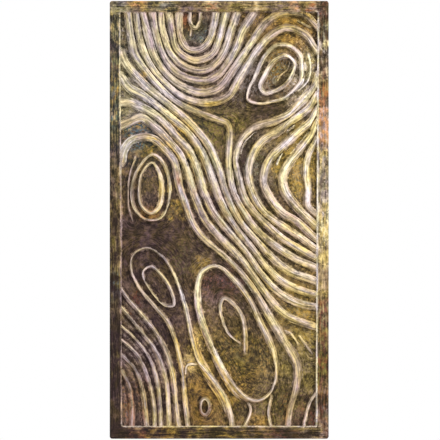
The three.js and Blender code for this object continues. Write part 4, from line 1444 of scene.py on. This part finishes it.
@dataclass(frozen=True)
class WaxedWood:
    """Carved softwood, stained dark and rubbed with coloured metallic waxes.

    The stain is matt and nearly black in the hollows. The wax sits on what stands proud, catches the
    lengthwise marks of the gouge and has a soft satin sheen. lengthwise gives a length and a width in mm
    for the marks that run along the carving, and scattered gives one size in mm, the noise's detail and
    its roughness for the others. mixes lay a share of a second pattern over the first, spans give the
    part of each noise that turns from none to full, shares say how much the marks break up the wax, and
    gains say how much the colour darkens and brightens by them. The lines of single bristles are too
    fine to show in the picture, so the finest streaks are drawn 3 mm wide.
    """

    name: str = "stained_softwood_rubbed_with_wax"
    lengthwise: tuple[tuple[str, float, float], ...] = (
        ("streak", 120.0, 4.0), ("fine", 15.0, 2.9), ("fleck", 60.0, 9.0), ("drift", 70.0, 10.0))
    scattered: tuple[tuple[str, float, float, float], ...] = (
        ("mottle", 14.0, 2.0, 0.6), ("cloud", 38.0, 1.0, 0.5), ("speck", 6.0, 0.0, 0.5),
        ("hue", 46.0, 1.0, 0.5))
    mixes: tuple[tuple[str, str, float], ...] = (("streak", "fine", 0.35), ("drift", "hue", 0.6))
    spans: tuple[tuple[str, float, float], ...] = (
        ("streak", 0.43, 0.57), ("mottle", 0.37, 0.63), ("speck", 0.64, 0.74), ("cloud", 0.38, 0.62),
        ("fleck", 0.44, 0.58), ("drift", 0.42, 0.58))
    proud: Place = (0.6, 0.85)
    dry: Place = (0.3, 0.55)
    dry_share: float = 0.6
    shares: tuple[tuple[str, float], ...] = (("mottle", 0.3), ("streak", 0.25), ("cloud", 0.35))
    taken: Place = (0.38, 1.5)
    wax_drift: tuple[Widths, Widths] = ((0.98, 0.94, 1.12, 1), (1.03, 0.99, 0.74, 1))
    stain_drift: tuple[Widths, Widths] = ((1.0, 0.88, 1.16, 1), (1.02, 1.0, 0.74, 1))
    gains: tuple[tuple[str, str, float, float], ...] = (
        ("brushed", "streak", 0.5, 1.03), ("dabbed", "streak", 0.82, 1.12),
        ("grainy", "mottle", 0.84, 1.14), ("soaked", "streak", 0.55, 1.1))
    roughness: Place = (0.75, 0.46)
    metal_share: float = 0.22
    specular_level: float = 0.12
    bump_strength: float = 0.6
    bump_height: float = 0.7
    grain: tuple[float, float, float] = (3.0, 30.0, 160.0)
    grain_detail: float = 3.0
    grain_distortion: float = 0.6
    back_light: str = "#5d4630"
    back_dark: str = "#38281b"

    def make(self) -> bpy.types.Material:
        """Build the material.

        Returns:
            The material, ready for the panel.
        """
        material = bpy.data.materials.new(self.name)
        material.use_nodes = True
        tree = material.node_tree
        shader = tree.nodes["Principled BSDF"]
        body = add_node(tree, "ShaderNodeTexCoord").outputs["Object"]
        # The rub attribute also carries the painted shade on lower-left flanks and in the corners.
        rub = add_node(tree, "ShaderNodeAttribute", {"attribute_name": "rub"}).outputs["Fac"]
        marks = self.marks(tree, body)
        mask = self.wax_mask(tree, rub, marks)
        proud = add_node(tree, "ShaderNodeMapRange", {}, {
            "Value": rub, "From Min": self.proud[0], "From Max": self.proud[1]}).outputs["Result"]
        face = self.face_colour(tree, marks, mask, proud)
        tree.links.new(self.bare_back(tree, body, face), shader.inputs["Base Color"])
        rough = add_node(tree, "ShaderNodeMapRange", {},
                         {"Value": mask, "To Min": self.roughness[0], "To Max": self.roughness[1]})
        tree.links.new(rough.outputs["Result"], shader.inputs["Roughness"])
        metal = add_node(tree, "ShaderNodeMath", {"operation": "MULTIPLY"}, {0: mask, 1: self.metal_share})
        tree.links.new(metal.outputs["Value"], shader.inputs["Metallic"])
        shader.inputs["Specular IOR Level"].default_value = self.specular_level
        relief = add_node(tree, "ShaderNodeMix", {"data_type": "FLOAT"},
                          {"Factor": proud, "A": marks["mottle"], "B": marks["streak"]})
        bump = add_node(tree, "ShaderNodeBump", {}, {
            "Strength": self.bump_strength, "Distance": self.bump_height * MM,
            "Height": relief.outputs["Result"]})
        tree.links.new(bump.outputs["Normal"], shader.inputs["Normal"])
        return material

    def marks(self, tree: bpy.types.NodeTree,
              body: bpy.types.NodeSocket) -> dict[str, bpy.types.NodeSocket]:
        """Draw every pattern of marks.

        Args:
            tree: The material's node tree.
            body: The Object coordinates.

        Returns:
            Each pattern by name, from 0 to 1.
        """
        flow = add_node(tree, "ShaderNodeUVMap", {"uv_map": "flow"}).outputs["UV"]
        raw = {}
        for name, long, wide in self.lengthwise:
            place = add_node(tree, "ShaderNodeMapping", {},
                             {"Vector": flow, "Scale": (1 / MM / long, 1 / MM / wide, 1)}).outputs["Vector"]
            raw[name] = add_node(tree, "ShaderNodeTexNoise", {"noise_dimensions": "2D"},
                                 {"Vector": place, "Scale": 1.0, "Detail": 1.0}).outputs["Fac"]
        for name, size, detail, rough in self.scattered:
            raw[name] = add_node(tree, "ShaderNodeTexNoise", {}, {
                "Vector": body, "Scale": 1 / MM / size, "Detail": detail, "Roughness": rough}).outputs["Fac"]
        for name, other, share in self.mixes:
            raw[name] = add_node(tree, "ShaderNodeMix", {"data_type": "FLOAT"},
                                 {"Factor": share, "A": raw[name], "B": raw[other]}).outputs["Result"]
        return {name: add_node(tree, "ShaderNodeMapRange", {}, {
            "Value": raw[name], "From Min": low, "From Max": high}).outputs["Result"]
                for name, low, high in self.spans}

    def wax_mask(self, tree: bpy.types.NodeTree, rub: bpy.types.NodeSocket,
                 marks: dict[str, bpy.types.NodeSocket]) -> bpy.types.NodeSocket:
        """Break up the rubbed wax by the marks.

        Args:
            tree: The material's node tree.
            rub: How much wax took.
            marks: The patterns of marks.

        Returns:
            Where wax covers the stain, from 0 to 1.
        """
        dry = add_node(tree, "ShaderNodeMapRange", {}, {
            "Value": rub, "From Min": self.dry[0], "From Max": self.dry[1], "To Max": self.dry_share})
        uneven = rub
        for name, share in (*self.shares, ("speck", dry.outputs["Result"])):
            uneven = add_node(tree, "ShaderNodeMath", {"operation": "MULTIPLY_ADD"},
                              {0: marks[name], 1: share, 2: uneven}).outputs["Value"]
        return add_node(tree, "ShaderNodeMapRange", {"interpolation_type": "SMOOTHSTEP"}, {
            "Value": uneven, "From Min": self.taken[0], "From Max": self.taken[1]}).outputs["Result"]

    def face_colour(self, tree: bpy.types.NodeTree, marks: dict[str, bpy.types.NodeSocket],
                    mask: bpy.types.NodeSocket, proud: bpy.types.NodeSocket) -> bpy.types.NodeSocket:
        """Colour the carved face.

        Args:
            tree: The material's node tree.
            marks: The patterns of marks.
            mask: Where wax covers the stain.
            proud: Where the wax lies on a crest, which shows the brush.

        Returns:
            The colour of the wax over the stain.
        """
        wax, fleck, stain = (add_node(tree, "ShaderNodeAttribute", {"attribute_name": name}).outputs["Color"]
                             for name in ("wax", "fleck", "stain"))
        blend = add_node(tree, "ShaderNodeMix", {"data_type": "RGBA"},
                         {"Factor": marks["fleck"], "A": wax, "B": fleck})
        gains = {name: add_node(tree, "ShaderNodeMapRange", {}, {
            "Value": marks[source], "To Min": low, "To Max": high}).outputs["Result"]
                 for name, source, low, high in self.gains}
        gain = add_node(tree, "ShaderNodeMix", {"data_type": "FLOAT"},
                        {"Factor": proud, "A": gains["dabbed"], "B": gains["brushed"]})
        wax_gain = add_node(tree, "ShaderNodeMath", {"operation": "MULTIPLY"},
                            {0: gain.outputs["Result"], 1: gains["grainy"]}).outputs["Value"]
        shaded = []
        for base, (cool, warm), strength in ((stain, self.stain_drift, gains["soaked"]),
                                             (blend.outputs["Result"], self.wax_drift, wax_gain)):
            drift = add_node(tree, "ShaderNodeMix", {"data_type": "RGBA"},
                             {"Factor": marks["drift"], "A": cool, "B": warm}).outputs["Result"]
            tinted = add_node(tree, "ShaderNodeMix", {"data_type": "RGBA", "blend_type": "MULTIPLY"},
                              {"Factor": 1.0, "A": base, "B": drift}).outputs["Result"]
            shaded.append(add_node(tree, "ShaderNodeVectorMath", {"operation": "SCALE"},
                                   {"Vector": tinted, "Scale": strength}).outputs["Vector"])
        return add_node(tree, "ShaderNodeMix", {"data_type": "RGBA"},
                        {"Factor": mask, "A": shaded[0], "B": shaded[1]}).outputs["Result"]

    def bare_back(self, tree: bpy.types.NodeTree, body: bpy.types.NodeSocket,
                  face: bpy.types.NodeSocket) -> bpy.types.NodeSocket:
        """Put plain stained grain on the back, along the board's height.

        Args:
            tree: The material's node tree.
            body: The Object coordinates.
            face: The colour of the face.

        Returns:
            The colour of the whole panel.
        """
        back = add_node(tree, "ShaderNodeAttribute", {"attribute_name": "back"}).outputs["Fac"]
        scale = tuple(1 / MM / size for size in self.grain)
        place = add_node(tree, "ShaderNodeMapping", {}, {"Vector": body, "Scale": scale})
        noise = add_node(tree, "ShaderNodeTexNoise", {},
                         {"Vector": place.outputs["Vector"], "Scale": 1.0,
                          "Detail": self.grain_detail, "Distortion": self.grain_distortion})
        dark, light = ((*hex_to_linear(code), 1) for code in (self.back_dark, self.back_light))
        wood = add_node(tree, "ShaderNodeMix", {"data_type": "RGBA"},
                        {"Factor": noise.outputs["Fac"], "A": dark, "B": light})
        return add_node(tree, "ShaderNodeMix", {"data_type": "RGBA"},
                        {"Factor": back, "A": face, "B": wood.outputs["Result"]}).outputs["Result"]


def add_node(tree: bpy.types.NodeTree, kind: str, settings: dict | None = None,
             inputs: dict | None = None) -> bpy.types.Node:
    """Add a node, with its settings and its inputs.

    Args:
        tree: The material's node tree.
        kind: The node's type.
        settings: Its properties by name.
        inputs: Its sockets by name or number: another node's output is linked, and any other value is
            set. Where sockets share a name, the enabled one is taken.

    Returns:
        The new node.
    """
    node = tree.nodes.new(kind)
    for key, value in (settings or {}).items():
        setattr(node, key, value)
    for key, value in (inputs or {}).items():
        socket = node.inputs[key] if isinstance(key, int) else next(
            s for s in node.inputs if s.name == key and s.enabled)
        if isinstance(value, bpy.types.NodeSocket):
            tree.links.new(value, socket)
        else:
            socket.default_value = value
    return node


@dataclass
class Studio:
    """The pale room, its lights and the camera straight in front.

    The panel fills panel_pixels of the picture's frame_pixels, and the camera aims a little beside and
    below its middle. Places and sizes of the room are in metres.
    """

    frame_pixels: float = 440.0
    panel_pixels: float = 438.1
    pixel: float = 2.785
    aim_right: float = 0.8
    aim_up: float = 0.15
    lens: float = 200.0
    sensor: float = 36.0
    floor_level: float = -0.75
    floor_size: float = 12.0
    floor_forward: float = 5.9
    paint: tuple[float, float, float, float] = (0.9, 0.9, 0.9, 1.0)
    key_place: tuple[float, float, float] = (2.2, -1.8, 2.4)
    key_size: float = 0.9
    key_power: float = 110.0

    def build(self, board: Board) -> None:
        """Set up the room, floor, light and camera.

        Args:
            board: The board that the camera frames.
        """
        scene = bpy.context.scene
        scene.view_settings.view_transform = "Standard"
        scene.world = bpy.data.worlds.new("studio")
        scene.world.use_nodes = True
        background = scene.world.node_tree.nodes["Background"]
        background.inputs["Color"].default_value = (1, 1, 1, 1)
        background.inputs["Strength"].default_value = 1.0
        span = board.height * self.frame_pixels / self.panel_pixels * MM
        distance = span * self.lens / self.sensor
        camera_data = bpy.data.cameras.new("camera")
        camera_data.lens = self.lens
        camera_data.sensor_width = self.sensor
        camera = bpy.data.objects.new("camera", camera_data)
        camera.location = (self.aim_right * self.pixel * MM, -distance - board.thickness * MM,
                           -self.aim_up * self.pixel * MM)
        camera.rotation_euler = (math.pi / 2, 0, 0)
        scene.collection.objects.link(camera)
        scene.camera = camera
        self.floor()
        self.light()

    def floor(self) -> None:
        """Lay the pale floor."""
        bpy.ops.object.select_all(action="DESELECT")
        bpy.ops.mesh.primitive_plane_add(size=self.floor_size,
                                         location=(0, -self.floor_forward, self.floor_level))
        sheet = bpy.context.active_object
        sheet.name = "floor"
        bpy.ops.object.transform_apply(location=True, rotation=True, scale=True)
        material = bpy.data.materials.new("matt_white_paint")
        material.use_nodes = True
        material.node_tree.nodes["Principled BSDF"].inputs["Base Color"].default_value = self.paint
        sheet.data.materials.append(material)

    def light(self) -> None:
        """Add the soft square key light, which faces the panel's middle."""
        data = bpy.data.lights.new("key", "AREA")
        data.size = self.key_size
        data.energy = self.key_power
        lamp = bpy.data.objects.new("key", data)
        lamp.location = self.key_place
        lamp.rotation_euler = (-Vector(self.key_place)).to_track_quat("-Z", "Y").to_euler()
        bpy.context.scene.collection.objects.link(lamp)


def main() -> None:
    """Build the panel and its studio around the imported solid."""
    logging.basicConfig(level=logging.INFO, format="%(name)s: %(message)s")
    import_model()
    bpy.ops.object.select_all(action="DESELECT")
    panel_maker = CarvedPanel()
    panel = panel_maker.build("carved_panel_relief")
    panel.data.materials.append(WaxedWood().make())
    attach(panel, "root")
    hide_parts("carved_panel")
    LOG.info("%s: %d faces", panel.name, len(panel.data.polygons))
    Studio().build(panel_maker.board)


if __name__ == "__main__":
    main()
